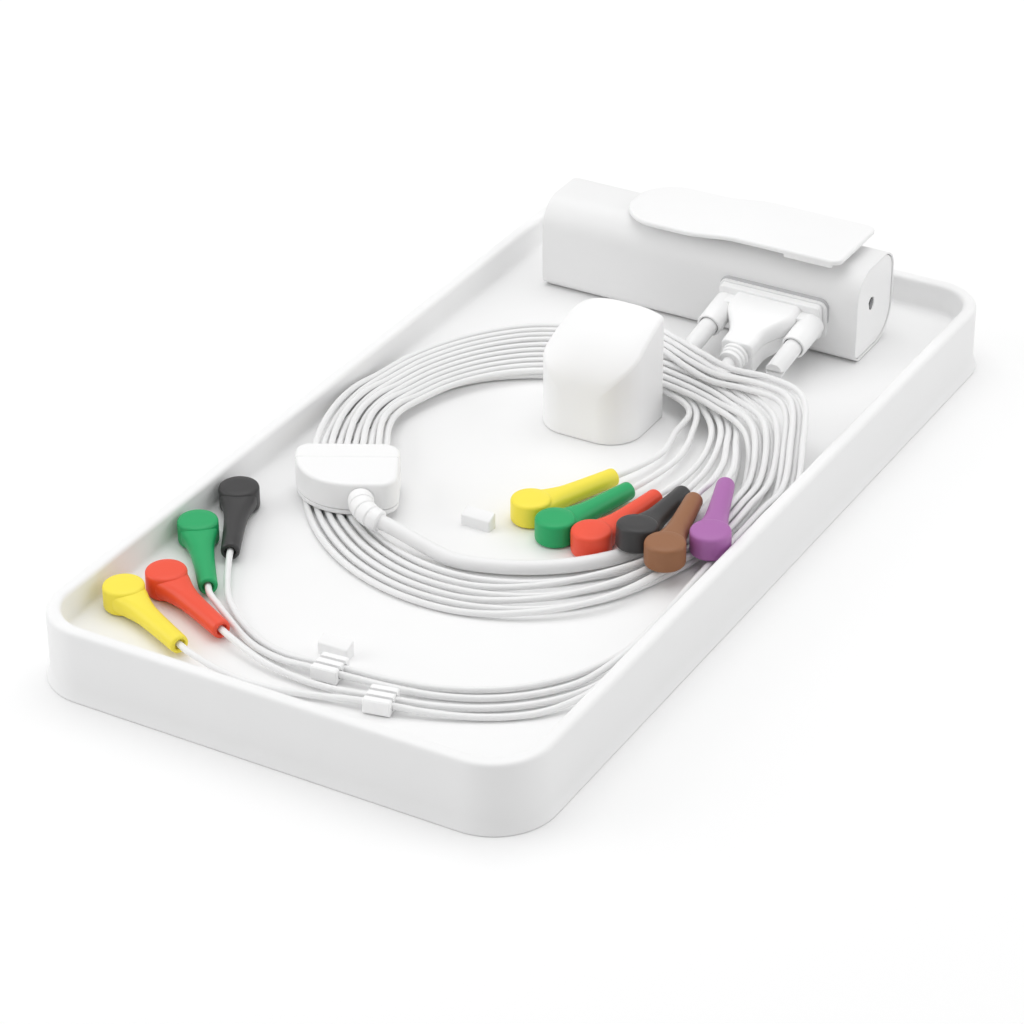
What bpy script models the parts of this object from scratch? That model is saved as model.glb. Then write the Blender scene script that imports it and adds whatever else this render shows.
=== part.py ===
"""Wireless ECG module kit: a tray that holds the module, its plug, trunk cable, yoke and ten leads.

Metres, +Z up, +Y towards the tray's far short side. The origin is the middle of the tray's foot.
The module lies across the far end of the tray with its socket facing the near end. The trunk cable
runs from the plug to a small yoke, where it splits into ten leads that are wound round a post.
"""
import math

import bmesh
import bpy
import numpy as np
from mathutils import Matrix, Vector

MM = 0.001

# Clearances and counts that all the pieces share
GAP = 0.3 * MM
OVERRUN = 2.0 * MM
MERGE_DISTANCE = 0.01 * MM
ARC_STEPS = 6
ROUND_SIDES = 20
SMALL_SIDES = 12

# Tray
TRAY_LENGTH = 350.0 * MM
TRAY_WIDTH = 178.0 * MM
TRAY_HEIGHT = 24.8 * MM
TRAY_CORNER = 19.8 * MM
TRAY_WALL = 5.0 * MM
TRAY_SKIRT = 3.2 * MM
TRAY_FLOOR_TOP = 14.0 * MM
TRAY_FLOOR = 3.0 * MM
TRAY_FLARE = 1.3 * MM
TRAY_FLARE_HEIGHT = 5.0 * MM
TRAY_RIM_ROUND = 1.6 * MM
TRAY_FILLET = 2.0 * MM
TAB_WIDTH = 11.0 * MM
TAB_DEPTH = 4.6 * MM
TAB_HEIGHT = 5.5 * MM
TAB_SLOPE = 1.6 * MM
TAB_X = -1.3 * MM
TAB_ROWS = (-43.0 * MM, -131.0 * MM)

# Cable post
POST_LEFT = -20.0 * MM
POST_RIGHT = 18.0 * MM
POST_FRONT = 23.3 * MM
POST_BACK = 52.0 * MM
POST_TOP = 56.0 * MM
POST_FRONT_CORNER = 12.0 * MM
POST_BACK_CORNER = 1.2 * MM
POST_SHOULDER = 31.0 * MM
POST_PEAK_X = -9.0 * MM
POST_RIGHT_FALL = 3.2 * MM
POST_LEFT_SHARE = 0.52
POST_LEFT_POWER = 3.4
POST_FRONT_POWER = 1.25
POST_DOME_POWER = 0.48
POST_STEPS = 9

# Module shell: a bar along X with four unlike corner radii
MODULE_LEFT = -66.9 * MM
MODULE_RIGHT = 60.6 * MM
MODULE_FRONT = 117.5 * MM
MODULE_BACK = 148.3 * MM
MODULE_HEIGHT = 34.0 * MM
MODULE_BOTTOM = TRAY_FLOOR_TOP + GAP
MODULE_TOP = MODULE_BOTTOM + MODULE_HEIGHT
MODULE_FRONT_BOTTOM_CORNER = 4.0 * MM
MODULE_BACK_BOTTOM_CORNER = 13.0 * MM
MODULE_BACK_TOP_CORNER = 8.0 * MM
MODULE_FRONT_TOP_CORNER = 11.0 * MM
SHELL_WALL = 1.8 * MM
MOUTH_WALL = 0.7 * MM
CAP_INSET = 0.4 * MM
CAP_THICKNESS = 4.0 * MM
CAP_SPIGOT = 3.5 * MM
CAP_ROUND = 0.3 * MM
CAP_NAIL_SLOT = (10.0 * MM, 1.4 * MM)
CAP_SPIGOT_INSET = SHELL_WALL + GAP

# Power key in the right end, with its frame, switch and window
KEY_INSET = 0.4 * MM
KEY_THICKNESS = 3.0 * MM
KEY_CLEARANCE = 0.3 * MM
KEY_ROUND = 0.3 * MM
KEY_TRAVEL = 0.8 * MM
KEY_STEM_RADIUS = 3.0 * MM
KEY_STEM_LENGTH = 5.4 * MM
KEY_FRAME_GAP = 1.4 * MM
KEY_FRAME_THICKNESS = 2.2 * MM
KEY_STEM_CLEARANCE = 0.6 * MM
KEY_SWITCH_SIZE = (6.0 * MM, 3.4 * MM, 6.0 * MM)
KEY_AXIS_Y = 126.6 * MM
KEY_AXIS_Z = 31.0 * MM
WINDOW_RADIUS = 2.35 * MM
WINDOW_DROP = 3.5 * MM
WINDOW_DEPTH = 1.0 * MM
WINDOW_Y = 130.4 * MM
WINDOW_Z = 33.1 * MM
WINDOW_SHARP_DEGREES = 25

# Board, radio can and cells
BOARD_LENGTH = 100.0 * MM
BOARD_THICKNESS = 1.6 * MM
BOARD_Y = 129.4 * MM
RADIO_SIZE = (18.0 * MM, 2.6 * MM, 14.0 * MM)
RADIO_X = -30.0 * MM
CELL_RADIUS = 7.15 * MM
CELL_LENGTH = 49.2 * MM
CELL_NUB_RADIUS = 2.7 * MM
CELL_NUB_LENGTH = 1.1 * MM
CELL_Y = 138.4 * MM
CELL_Z = 31.2 * MM
CELL_SPRING_RADIUS = 3.6 * MM
CELL_SPRING_WIRE = 0.8 * MM
CELL_SPRING_TURNS = 2
CELL_SPRING_TURN_POINTS = 10

# Socket and plug, on a common axis tilted down from the module's front
PLUG_X = 28.3 * MM
PLUG_Z = 29.2 * MM
PLUG_TILT = math.radians(9)
BEZEL_WIDTH = 42.0 * MM
BEZEL_HEIGHT = 15.6 * MM
BEZEL_CORNER = 3.0 * MM
BEZEL_PROUD = 1.4 * MM
BEZEL_DEPTH = 3.2 * MM
SCREW_X = 16.65 * MM
DSUB_WIDTH = 25.2 * MM
DSUB_HEIGHT = 8.4 * MM
DSUB_SLANT = 1.5 * MM
DSUB_CORNER = 2.2 * MM
DSUB_SHEET = 0.5 * MM
SOCKET_REACH = 3.0 * MM
SOCKET_DEPTH = 6.0 * MM
INSULATOR_DEPTH = 8.0 * MM
PLUG_INSULATOR_DEPTH = 5.0 * MM
NUT_RADIUS = 2.7 * MM
NUT_BORE = 1.6 * MM
FLANGE_WIDTH = 39.2 * MM
FLANGE_HEIGHT = 12.5 * MM
FLANGE_CORNER = 2.0 * MM
FLANGE_THICKNESS = 0.8 * MM
FLANGE_PLANE = 3.5 * MM
HOOD_LENGTH = 26.5 * MM
HOOD_HEIGHT = 13.0 * MM
HOOD_HALF_WIDTH = 13.0 * MM
HOOD_HALF_NOSE = 6.2 * MM
HOOD_NOSE_LENGTH = 6.0 * MM
HOOD_FLARE_STEPS = 6
HOOD_CORNER = 2.0 * MM
HOOD_WALL = 0.9 * MM
HOOD_EDGE = 0.8 * MM
SLEEVE_RADIUS = 4.8 * MM
SLEEVE_LENGTH = 15.5 * MM
SLEEVE_WEB = 5.0 * MM
SCREW_RADIUS = 3.3 * MM
SCREW_TIP_RADIUS = 1.3 * MM
SCREW_END = 35.0 * MM
SCREW_TIP_REACH = 5.0 * MM
SCREW_SLOT_WIDTH = 0.9 * MM
SCREW_SLOT_DEPTH = 1.4 * MM
SCREW_CHAMFER = 0.5 * MM
PLUG_BOOT_RADIUS = 5.0 * MM
PLUG_BOOT_NECK = 4.0 * MM
PLUG_BOOT_COLLAR = 2.3 * MM
PLUG_BOOT_START = 25.7 * MM
PLUG_BOOT_END = 36.2 * MM
PLUG_BOOT_RIBS = 3

# Belt clip on the module's top
CLIP_AXIS_X = 40.5 * MM
CLIP_AXIS_Y = 133.5 * MM
CLIP_AXIS_RISE = 1.8 * MM
CLIP_LEFT = -36.7 * MM
CLIP_RIGHT = 53.0 * MM
CLIP_WIDTH = 33.0 * MM
CLIP_THICKNESS = 2.0 * MM
CLIP_PLATE_RISE = 1.1 * MM
CLIP_BEND_LEFT = -10.0 * MM
CLIP_BEND_RIGHT = 13.0 * MM
CLIP_BEND_DROP = 2.1 * MM
CLIP_BEND_STEPS = 8
CLIP_TIP_CORNER = 15.5 * MM
CLIP_HEEL_CORNER = 4.0 * MM
CLIP_LIP_LEFT = 31.0 * MM
CLIP_LIP_RIGHT = 50.0 * MM
CLIP_LIP_THICKNESS = 2.2 * MM
CLIP_LIP_BOTTOM = 0.1 * MM
CLIP_PIN_RADIUS = 0.5 * MM
CLIP_PIN_LENGTH = 18.0 * MM
CLIP_KNUCKLE_HALF = 1.4 * MM
CLIP_KNUCKLE_LENGTH = 2.0 * MM
CLIP_KNUCKLE_Y = 3.7 * MM
CLIP_LUG_HALF = 2.2 * MM
CLIP_LUG_LENGTH = 3.2 * MM
CLIP_LUG_Y = 6.9 * MM
CLIP_LUG_RISE = 1.3 * MM
CLIP_BASE_HALF = 3.2 * MM
CLIP_BASE_WIDTH = 25.5 * MM
CLIP_BASE_TOP = 0.05 * MM
CLIP_SPRING_RADIUS = 1.1 * MM
CLIP_SPRING_WIRE = 0.4 * MM
CLIP_SPRING_TURNS = 4
CLIP_SPRING_PITCH = 0.9 * MM
CLIP_SPRING_TURN_POINTS = 8

# Yoke, where the trunk cable splits into the leads
YOKE_X = -46.5 * MM
YOKE_Y = -52.0 * MM
YOKE_BOTTOM = 16.8 * MM
YOKE_TURN = math.radians(28)
YOKE_WIDTH = 35.0 * MM
YOKE_FRONT = -12.0 * MM
YOKE_BACK = 15.0 * MM
YOKE_HEIGHT = 12.0 * MM
YOKE_SPLIT = 1.6 * MM
YOKE_FRONT_LEFT_CORNER = 20.0 * MM
YOKE_FRONT_RIGHT_CORNER = 6.0 * MM
YOKE_BACK_RIGHT_CORNER = 6.0 * MM
YOKE_BACK_LEFT_CORNER = 4.5 * MM
YOKE_EDGE = 1.4 * MM
YOKE_WALL = 2.0 * MM
YOKE_BOARD_THICKNESS = 1.2 * MM
YOKE_BOARD_RISE = 0.4 * MM
YOKE_STEP_Y = 5.5 * MM
YOKE_STEP_DEPTH = 0.35 * MM
YOKE_BOOT_X = 5.7 * MM
YOKE_BOOT_BEND = 13.5 * MM
YOKE_BOOT_TURN = math.radians(62)
YOKE_BOOT_DROP = 1.2 * MM
YOKE_BOOT_RADIUS = 4.4 * MM
YOKE_BOOT_NECK = 3.3 * MM
YOKE_BOOT_RIBS = 5

# Cables: their diameters, and the coil as lanes between two tilted ellipses
LEAD_DIAMETER = 2.2 * MM
LEAD_LAYER = 2.6 * MM
LEAD_PITCH = 2.7 * MM
TRUNK_DIAMETER = 5.0 * MM
LEAD_REST = TRAY_FLOOR_TOP + GAP + LEAD_DIAMETER / 2
TURN_POINTS = 24
RING_CENTRE_X = -2.0 * MM
RING_CENTRE_Y = 0.0
RING_TILT = math.radians(108)
RING_INNER = (60.5 * MM, 56.0 * MM)
RING_OUTER = (96.0 * MM, 77.0 * MM)
LIFT_INNER = 5.5 * MM
LIFT_RISE = 4.5 * MM
FAN_START_REACH = 16.0 * MM
FAN_END_REACH = 18.0 * MM
FAN_STAGGER = 2.1 * MM
FAN_POINTS = 5
TAIL_SPACING = 8.0 * MM
TRUNK_SPACING = 11.0 * MM

# Stations round the coil: degrees, first lane and lane step as shares of the ring's width, leads on
# each step, layer of the even and odd leads, how far they are lifted over the trunk cable, and how
# much that lift grows outwards. Degrees run down because the leads wind clockwise.
CHEST_STATION_SHARES = (
    (165, 0.03, 0.11, 1, 1, 1, 0, 1),
    (110, 0.03, 0.11, 1, 1, 1, 0, 1),
    (72, 0.03, 0.11, 1, 1, 1, 1, 1),
    (52, 0.24, 0.11, 1, 1, 1, 1, 1),
    (35, 0.62, 0.092, 1, 0, 1, 0.95, 1),
    (17, 0.66, 0.08, 1, 0, 1, 0, 1),
    (5, 0.66, 0.135, 2, 0, 1, 0, 1),
    (-28, 0.56, 0.14, 2, 0, 1, 0, 1),
    (-50, 0.44, 0.11, 1, 0, 1, 0, 1),
    (-75, 0.44, 0.112, 1, 0, 0, 0, 1),
    (-131, 0.40, 0.13, 1, 0, 0, 0, 1),
    (-180, 0.26, 0.13, 1, 0, 0, 0, 1),
    (-250, 0.05, 0.115, 1, 0, 0, 0, 0.15),
    (-288, 0.03, 0.10, 1, 0, 0, 1, 0.15),
    (-306, -0.05, 0.122, 1, 0, 0, 1, 0.15),
)
LIMB_STATION_SHARES = (
    (165, 0.69, 0.105, 1, 1, 1, 0, 1),
    (135, 0.69, 0.105, 1, 1, 1, 0, 1),
    (110, 0.71, 0.10, 1, 1, 1, 0, 1),
    (98, 0.71, 0.10, 1, 2, 2, 0.24, 1),
    (84, 0.46, 0.09, 1, 2, 2, 0.76, 1),
    (72, 0.34, 0.10, 1, 2, 2.1, 1, 1),
    (60, 0.42, 0.105, 1, 2, 2.4, 1, 1),
    (50, 0.76, 0.11, 1, 2, 2.6, 1, 1),
    (39, 1.19, 0.10, 1, 2, 2.6, 0.95, 1),
    (25, 1.22, 0.10, 1, 1, 2, 0.42, 1),
    (14, 1.19, 0.10, 1, 0, 1, 0, 1),
    (5, 1.15, 0.125, 2, 0, 1, 0, 1),
    (-12, 1.09, 0.125, 2, 0, 1, 0, 1),
    (-25, 1.19, 0.125, 2, 0, 1, 0, 1),
)

# The trunk cable's free run, in millimetres, from the yoke to the plug
TRUNK_ROUTE = (
    (-7, -68.8, 18.6), (4, -69.4, 16.9), (17, -66.6, 16.8), (30, -60.6, 16.8), (41, -52.4, 16.8),
    (50, -42, 16.8), (56.6, -29.5, 16.8), (60.6, -15, 16.8), (62.2, 0, 16.8), (60.6, 14.5, 16.8),
    (56.6, 28, 16.8), (50.8, 40, 16.8), (43.6, 50.6, 16.8), (36.2, 59.4, 16.9), (31.0, 67.4, 18.9),
)

# Each lead from the inside of the fan outwards: its snap's head place, heading in degrees and the
# heights of the snap's head and tail, then the free run from the coil to the snap, in millimetres
LEAD_ROUTES = {
    "chest_yellow": ((12.1, -31.4, 66.5, 14.3, 14.3), (
        (30.4, 37, 18.4), (32.4, 25, 17.8), (30.6, 13.5, 17.9))),
    "chest_green": ((25.1, -38.3, 74.3, 14.3, 14.3), (
        (36.4, 37, 18.8), (38.8, 24, 17.9), (37.9, 10.5, 18.0))),
    "chest_red": ((39.0, -39.2, 80.5, 14.3, 14.6), (
        (42.6, 40, 20.0), (46.4, 26, 18.4), (47.0, 11, 18.3))),
    "chest_black": ((54.2, -37.0, 91.6, 19.7, 16.9), (
        (45.0, 42, 21.2), (49.2, 31.6, 20.4), (52.2, 17, 19.6))),
    "chest_brown": ((67.3, -42.2, 101.5, 19.8, 19.8), (
        (47.4, 43.2, 20.9), (51.8, 32.8, 21.4), (57.4, 18.8, 22.8), (59.9, 5.4, 23.4))),
    "chest_purple": ((76.6, -28.4, 108.5, 19.7, 20.6), (
        (49.8, 44.4, 21.0), (54.4, 34.6, 21.4), (59.4, 24.0, 22.6), (63.2, 14.0, 24.0))),
    "limb_black": ((-76.2, -71.6, -61.5, 14.3, 14.3), (
        (79.7, -58, 15.4), (79.3, -75, 15.4), (76.4, -92, 15.4), (70.2, -107, 15.4),
        (60.6, -119.5, 15.4), (48.6, -128.5, 15.4), (35, -134.5, 15.5), (20, -138.4, 16.2),
        (8.6, -140.3, 16.8), (-1.4, -141.2, 16.8), (-13, -140.9, 15.8), (-25, -137.6, 15.4),
        (-37, -131, 15.6), (-47.5, -121.8, 16.6))),
    "limb_green": ((-76.0, -96.2, -50.8, 14.3, 14.3), (
        (79.7, -58, 18.0), (80.0, -75, 18.0), (79.2, -93, 17.6), (74.0, -109.8, 15.8),
        (63.6, -123.2, 15.4), (50.9, -132.6, 15.4), (36.5, -138.4, 15.5), (21, -141.9, 16.2),
        (8.9, -143.7, 16.8), (-1.1, -144.6, 16.8), (-13, -144.4, 15.9), (-25.5, -141.2, 15.6),
        (-36.5, -135.6, 16.6))),
    "limb_red": ((-67.4, -126.8, -26.0, 14.3, 14.3), (
        (82.4, -58, 15.4), (82.4, -75, 15.4), (81.6, -95.5, 15.4), (76.9, -113.2, 15.4),
        (67.2, -127.0, 15.4), (54, -137, 15.4), (41, -143.6, 16.0), (31, -147.2, 16.8),
        (21.4, -149.1, 16.8), (9, -150.4, 15.8), (-4, -150.4, 15.8), (-17, -148.9, 16.6))),
    "limb_yellow": ((-74.2, -140.6, -25.4, 14.3, 14.3), (
        (82.5, -58, 18.0), (82.6, -75, 18.0), (82.5, -95.5, 18.0), (79.9, -115.4, 16.9),
        (70.4, -131.0, 15.5), (56, -141.3, 15.4), (42, -147.4, 16.0), (31.7, -150.5, 16.8),
        (22.1, -152.5, 16.8), (10, -155, 15.8), (-4, -158.4, 15.6), (-16, -160.6, 16.4),
        (-26, -160.3, 17.4))),
}
CHEST_LEADS = 6

# Lead clips on the tray floor, each on two of the limb leads
LEAD_CLIP_LENGTH = 9.0 * MM
LEAD_CLIP_WIDTH = 9.4 * MM
LEAD_CLIP_HEIGHT = 5.0 * MM
LEAD_CLIP_BORE = 1.45 * MM
LEAD_CLIP_PITCH = 3.4 * MM
LEAD_CLIP_BORE_HEIGHT = 2.5 * MM
LEAD_CLIP_SLOT = 1.2 * MM
LEAD_CLIP_EDGE = 0.4 * MM
LEAD_CLIPS = {
    "lead_clip_front": (3.75 * MM, -142.45 * MM, math.radians(5.1)),
    "lead_clip_rear": (26.6 * MM, -149.8 * MM, math.radians(11.5)),
}

# Snap connectors on the leads' ends
SNAP_LENGTH = 35.0 * MM
SNAP_HEAD_RADIUS = 6.8 * MM
SNAP_HEAD_HEIGHT = 8.7 * MM
SNAP_HEAD_ROUND = 1.2 * MM
SNAP_HOLE_RADIUS = 2.2 * MM
SNAP_HOLE_DEPTH = 3.5 * MM
SNAP_AXIS_HEIGHT = 3.8 * MM
SNAP_BODY = (
    (1.0 * MM, 6.1 * MM, 3.8 * MM), (4.0 * MM, 5.8 * MM, 3.8 * MM), (8.0 * MM, 4.8 * MM, 3.7 * MM),
    (13.0 * MM, 4.0 * MM, 3.5 * MM), (20.0 * MM, 3.5 * MM, 3.3 * MM), (34.4 * MM, 3.1 * MM, 3.1 * MM),
    (35.0 * MM, 2.5 * MM, 2.5 * MM),
)
SNAP_DISH_RADIUS = 1.9 * MM
SNAP_DISH_DEPTH = 1.5 * MM
SNAP_HEAD_SIDES = 18
SNAP_BODY_SIDES = 12

# Colours as linear RGB, with roughness and metallic
WHITE = ((0.82, 0.82, 0.81), 0.38, 0.0)
TRAY_WHITE = ((0.86, 0.86, 0.86), 0.42, 0.0)
PALE_GREY = ((0.62, 0.63, 0.64), 0.4, 0.0)
DARK_GREY = ((0.05, 0.05, 0.055), 0.3, 0.0)
STEEL = ((0.62, 0.62, 0.6), 0.28, 1.0)
BOARD_GREEN = ((0.02, 0.16, 0.07), 0.5, 0.0)
CELL_GREY = ((0.3, 0.31, 0.33), 0.35, 0.6)
INSULATOR_BLACK = ((0.03, 0.03, 0.03), 0.5, 0.0)
SNAP_COLOURS = {
    "yellow": ((0.95, 0.68, 0.03), 0.4, 0.0),
    "green": ((0.01, 0.3, 0.09), 0.4, 0.0),
    "red": ((0.87, 0.07, 0.03), 0.4, 0.0),
    "black": ((0.03, 0.03, 0.032), 0.4, 0.0),
    "brown": ((0.22, 0.08, 0.04), 0.4, 0.0),
    "purple": ((0.33, 0.09, 0.46), 0.4, 0.0),
}

# Turns local x, y, z into world y, z, x, so that an outline stands across the module's length
ALONG_X = Matrix(((0, 0, 1, 0), (1, 0, 0, 0), (0, 1, 0, 0), (0, 0, 0, 1)))
# Turns local z into world -y, so that a turned piece points out of the module's front
OUT_OF_FRONT = Matrix.Rotation(math.pi / 2, 4, "X")
PLUG_FRAME = Matrix.Translation((PLUG_X, MODULE_FRONT, PLUG_Z)) @ Matrix.Rotation(PLUG_TILT, 4, "X")
YOKE_FRAME = Matrix.Translation((YOKE_X, YOKE_Y, YOKE_BOTTOM)) @ Matrix.Rotation(YOKE_TURN, 4, "Z")


# Scene and object helpers

def clear_scene():
    for obj in list(bpy.data.objects):
        bpy.data.objects.remove(obj, do_unlink=True)


def new_collection(name):
    collection = bpy.data.collections.new(name)
    bpy.context.scene.collection.children.link(collection)
    return collection


def give_material(obj, look):
    colour, roughness, metallic = look
    material = bpy.data.materials.new(obj.name)
    material.use_nodes = True
    shader = material.node_tree.nodes["Principled BSDF"]
    shader.inputs["Base Color"].default_value = (*colour, 1.0)
    shader.inputs["Roughness"].default_value = roughness
    shader.inputs["Metallic"].default_value = metallic
    material.diffuse_color = (*colour, 1.0)
    if not obj.material_slots:
        obj.data.materials.append(None)
    obj.material_slots[0].link = "OBJECT"
    obj.material_slots[0].material = material


def place(name, data, look=None, matrix=None):
    """Link data as a node of the kit, or as a hidden cutter when it has no look."""
    obj = bpy.data.objects.new(name, data)
    if look is None:
        CUTTERS.objects.link(obj)
        obj.hide_render = True
        obj.display_type = "WIRE"
    else:
        PARTS.objects.link(obj)
        give_material(obj, look)
    if matrix is not None:
        obj.matrix_world = matrix
    return obj


def finish_mesh(name, mesh_builder):
    """Close a bmesh into named mesh data with its faces pointing out."""
    bmesh.ops.recalc_face_normals(mesh_builder, faces=mesh_builder.faces)
    mesh = bpy.data.meshes.new(name)
    mesh_builder.to_mesh(mesh)
    mesh_builder.free()
    return mesh


def box_mesh(name, low, high):
    size = Vector(high) - Vector(low)
    middle = (Vector(high) + Vector(low)) / 2
    builder = bmesh.new()
    stretched = Matrix.Translation(middle) @ Matrix.Diagonal((*size, 1.0))
    bmesh.ops.create_cube(builder, size=1.0, matrix=stretched)
    return finish_mesh(name, builder)


def prism_mesh(name, outline, low, high):
    """A flat outline carried up from low to high."""
    builder = bmesh.new()
    bottom = builder.faces.new([builder.verts.new((x, y, low)) for x, y in outline])
    top = bmesh.ops.extrude_face_region(builder, geom=[bottom])
    moved = [item for item in top["geom"] if isinstance(item, bmesh.types.BMVert)]
    bmesh.ops.translate(builder, verts=moved, vec=(0, 0, high - low))
    return finish_mesh(name, builder)


def cylinder_mesh(name, radius, low, high, sides=SMALL_SIDES):
    builder = bmesh.new()
    middle = Matrix.Translation((0, 0, (low + high) / 2))
    bmesh.ops.create_cone(builder, cap_ends=True, segments=sides, radius1=radius, radius2=radius,
                          depth=high - low, matrix=middle)
    return finish_mesh(name, builder)


def loft_mesh(name, rings):
    """Closed rings of equally many points, joined side by side and capped at both ends."""
    builder = bmesh.new()
    loops = [[builder.verts.new(point) for point in ring] for ring in rings]
    for lower, upper in zip(loops, loops[1:]):
        for index in range(len(lower)):
            following = (index + 1) % len(lower)
            builder.faces.new((lower[index], lower[following], upper[following], upper[index]))
    builder.faces.new(list(reversed(loops[0])))
    builder.faces.new(loops[-1])
    return finish_mesh(name, builder)


def turned(name, profile, look, matrix=None, sides=ROUND_SIDES):
    """A turned piece: a radius and height profile, from top to bottom, with a Screw modifier."""
    mesh = bpy.data.meshes.new(name)
    points = [(radius, 0, height) for radius, height in profile]
    mesh.from_pydata(points, [(index, index + 1) for index in range(len(points) - 1)], [])
    obj = place(name, mesh, look, matrix)
    screw = obj.modifiers.new("turn", "SCREW")
    screw.steps = sides
    screw.render_steps = sides
    screw.use_merge_vertices = True
    screw.merge_threshold = MERGE_DISTANCE
    return obj


def boolean(obj, other, operation):
    modifier = obj.modifiers.new(operation.lower(), "BOOLEAN")
    modifier.operation = operation
    modifier.solver = "EXACT"
    modifier.object = other


def cut(obj, mesh, matrix=None):
    boolean(obj, place(mesh.name, mesh, None, matrix), "DIFFERENCE")


def join(obj, mesh, matrix=None):
    boolean(obj, place(mesh.name, mesh, None, matrix), "UNION")


def keep(obj, mesh, matrix=None):
    boolean(obj, place(mesh.name, mesh, None, matrix), "INTERSECT")


def round_edges(obj, width, segments=2, degrees=40):
    bevel = obj.modifiers.new("edges", "BEVEL")
    bevel.width = width
    bevel.segments = segments
    bevel.limit_method = "ANGLE"
    bevel.angle_limit = math.radians(degrees)


def hang_on_joint(name, origin, pieces):
    """Parent moving pieces to an empty on their joint's axis, where they are."""
    empty = bpy.data.objects.new(name, None)
    PARTS.objects.link(empty)
    empty.matrix_world = Matrix.Translation(origin)
    for piece in pieces:
        world = piece.matrix_world.copy()
        piece.parent = empty
        piece.matrix_parent_inverse = Matrix.Translation(origin).inverted()
        piece.matrix_world = world


def evaluated_mesh(obj):
    graph = bpy.context.evaluated_depsgraph_get()
    return bpy.data.meshes.new_from_object(obj.evaluated_get(graph))


def tube(name, points, diameter, look, sides_resolution=2, radii=None):
    """A tube along a list of points, with one radius factor for each point where it is ribbed."""
    curve = bpy.data.curves.new(name, "CURVE")
    curve.dimensions = "3D"
    curve.bevel_depth = diameter / 2
    curve.bevel_resolution = sides_resolution
    curve.use_fill_caps = True
    spline = curve.splines.new("POLY")
    spline.points.add(len(points) - 1)
    for index, point in enumerate(points):
        spline.points[index].co = (*point, 1.0)
        if radii:
            spline.points[index].radius = radii[index]
    return place(name, curve, look)


# Outlines

def arc(centre_x, centre_y, radius, start, end, steps):
    angles = [start + (end - start) * step / steps for step in range(steps + 1)]
    return [(centre_x + radius * math.cos(angle), centre_y + radius * math.sin(angle)) for angle in angles]


def rounded_outline(left, right, front, back, corners, steps=ARC_STEPS):
    """A rectangle whose corners, from the front left round to the back left, have their own radii."""
    centres = (
        (left + corners[0], front + corners[0]), (right - corners[1], front + corners[1]),
        (right - corners[2], back - corners[2]), (left + corners[3], back - corners[3]),
    )
    points = []
    for index, (x, y) in enumerate(centres):
        start = math.pi + index * math.pi / 2
        points += arc(x, y, corners[index], start, start + math.pi / 2, steps)
    return points


def tray_ring(offset, height):
    half_width = TRAY_WIDTH / 2 - offset
    half_length = TRAY_LENGTH / 2 - offset
    corner = TRAY_CORNER - offset
    outline = rounded_outline(-half_width, half_width, -half_length, half_length, (corner,) * 4)
    return [(x, y, height) for x, y in outline]


def module_outline(inset):
    corners = (
        MODULE_FRONT_BOTTOM_CORNER - inset, MODULE_BACK_BOTTOM_CORNER - inset,
        MODULE_BACK_TOP_CORNER - inset, MODULE_FRONT_TOP_CORNER - inset,
    )
    return rounded_outline(MODULE_FRONT + inset, MODULE_BACK - inset,
                           MODULE_BOTTOM + inset, MODULE_TOP - inset, corners)


def window_outline(inset):
    """A drop: a round top that closes down to a point."""
    sharp = math.radians(WINDOW_SHARP_DEGREES)
    top = arc(WINDOW_Y, WINDOW_Z, WINDOW_RADIUS - inset, -sharp, math.pi + sharp, ARC_STEPS)
    return top + [(WINDOW_Y, WINDOW_Z - WINDOW_DROP + 2 * inset)]


def dsub_outline(grow):
    """The connector's D: a rounded slot whose lower side is shorter than its upper side."""
    half = DSUB_WIDTH / 2 + grow
    rise = DSUB_HEIGHT / 2 + grow
    corner = DSUB_CORNER + grow
    low = rounded_outline(-half, half, -rise, rise, (corner,) * 4, 3)
    return [(x * (1 - DSUB_SLANT / DSUB_WIDTH * (1 - y / rise)), y) for x, y in low]


def yoke_outline(inset):
    corners = [radius - inset for radius in (YOKE_FRONT_LEFT_CORNER, YOKE_FRONT_RIGHT_CORNER,
                                             YOKE_BACK_RIGHT_CORNER, YOKE_BACK_LEFT_CORNER)]
    half_width = YOKE_WIDTH / 2 - inset
    return rounded_outline(-half_width, half_width, YOKE_FRONT + inset, YOKE_BACK - inset, corners)


# Tray, post and lead clips

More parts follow.
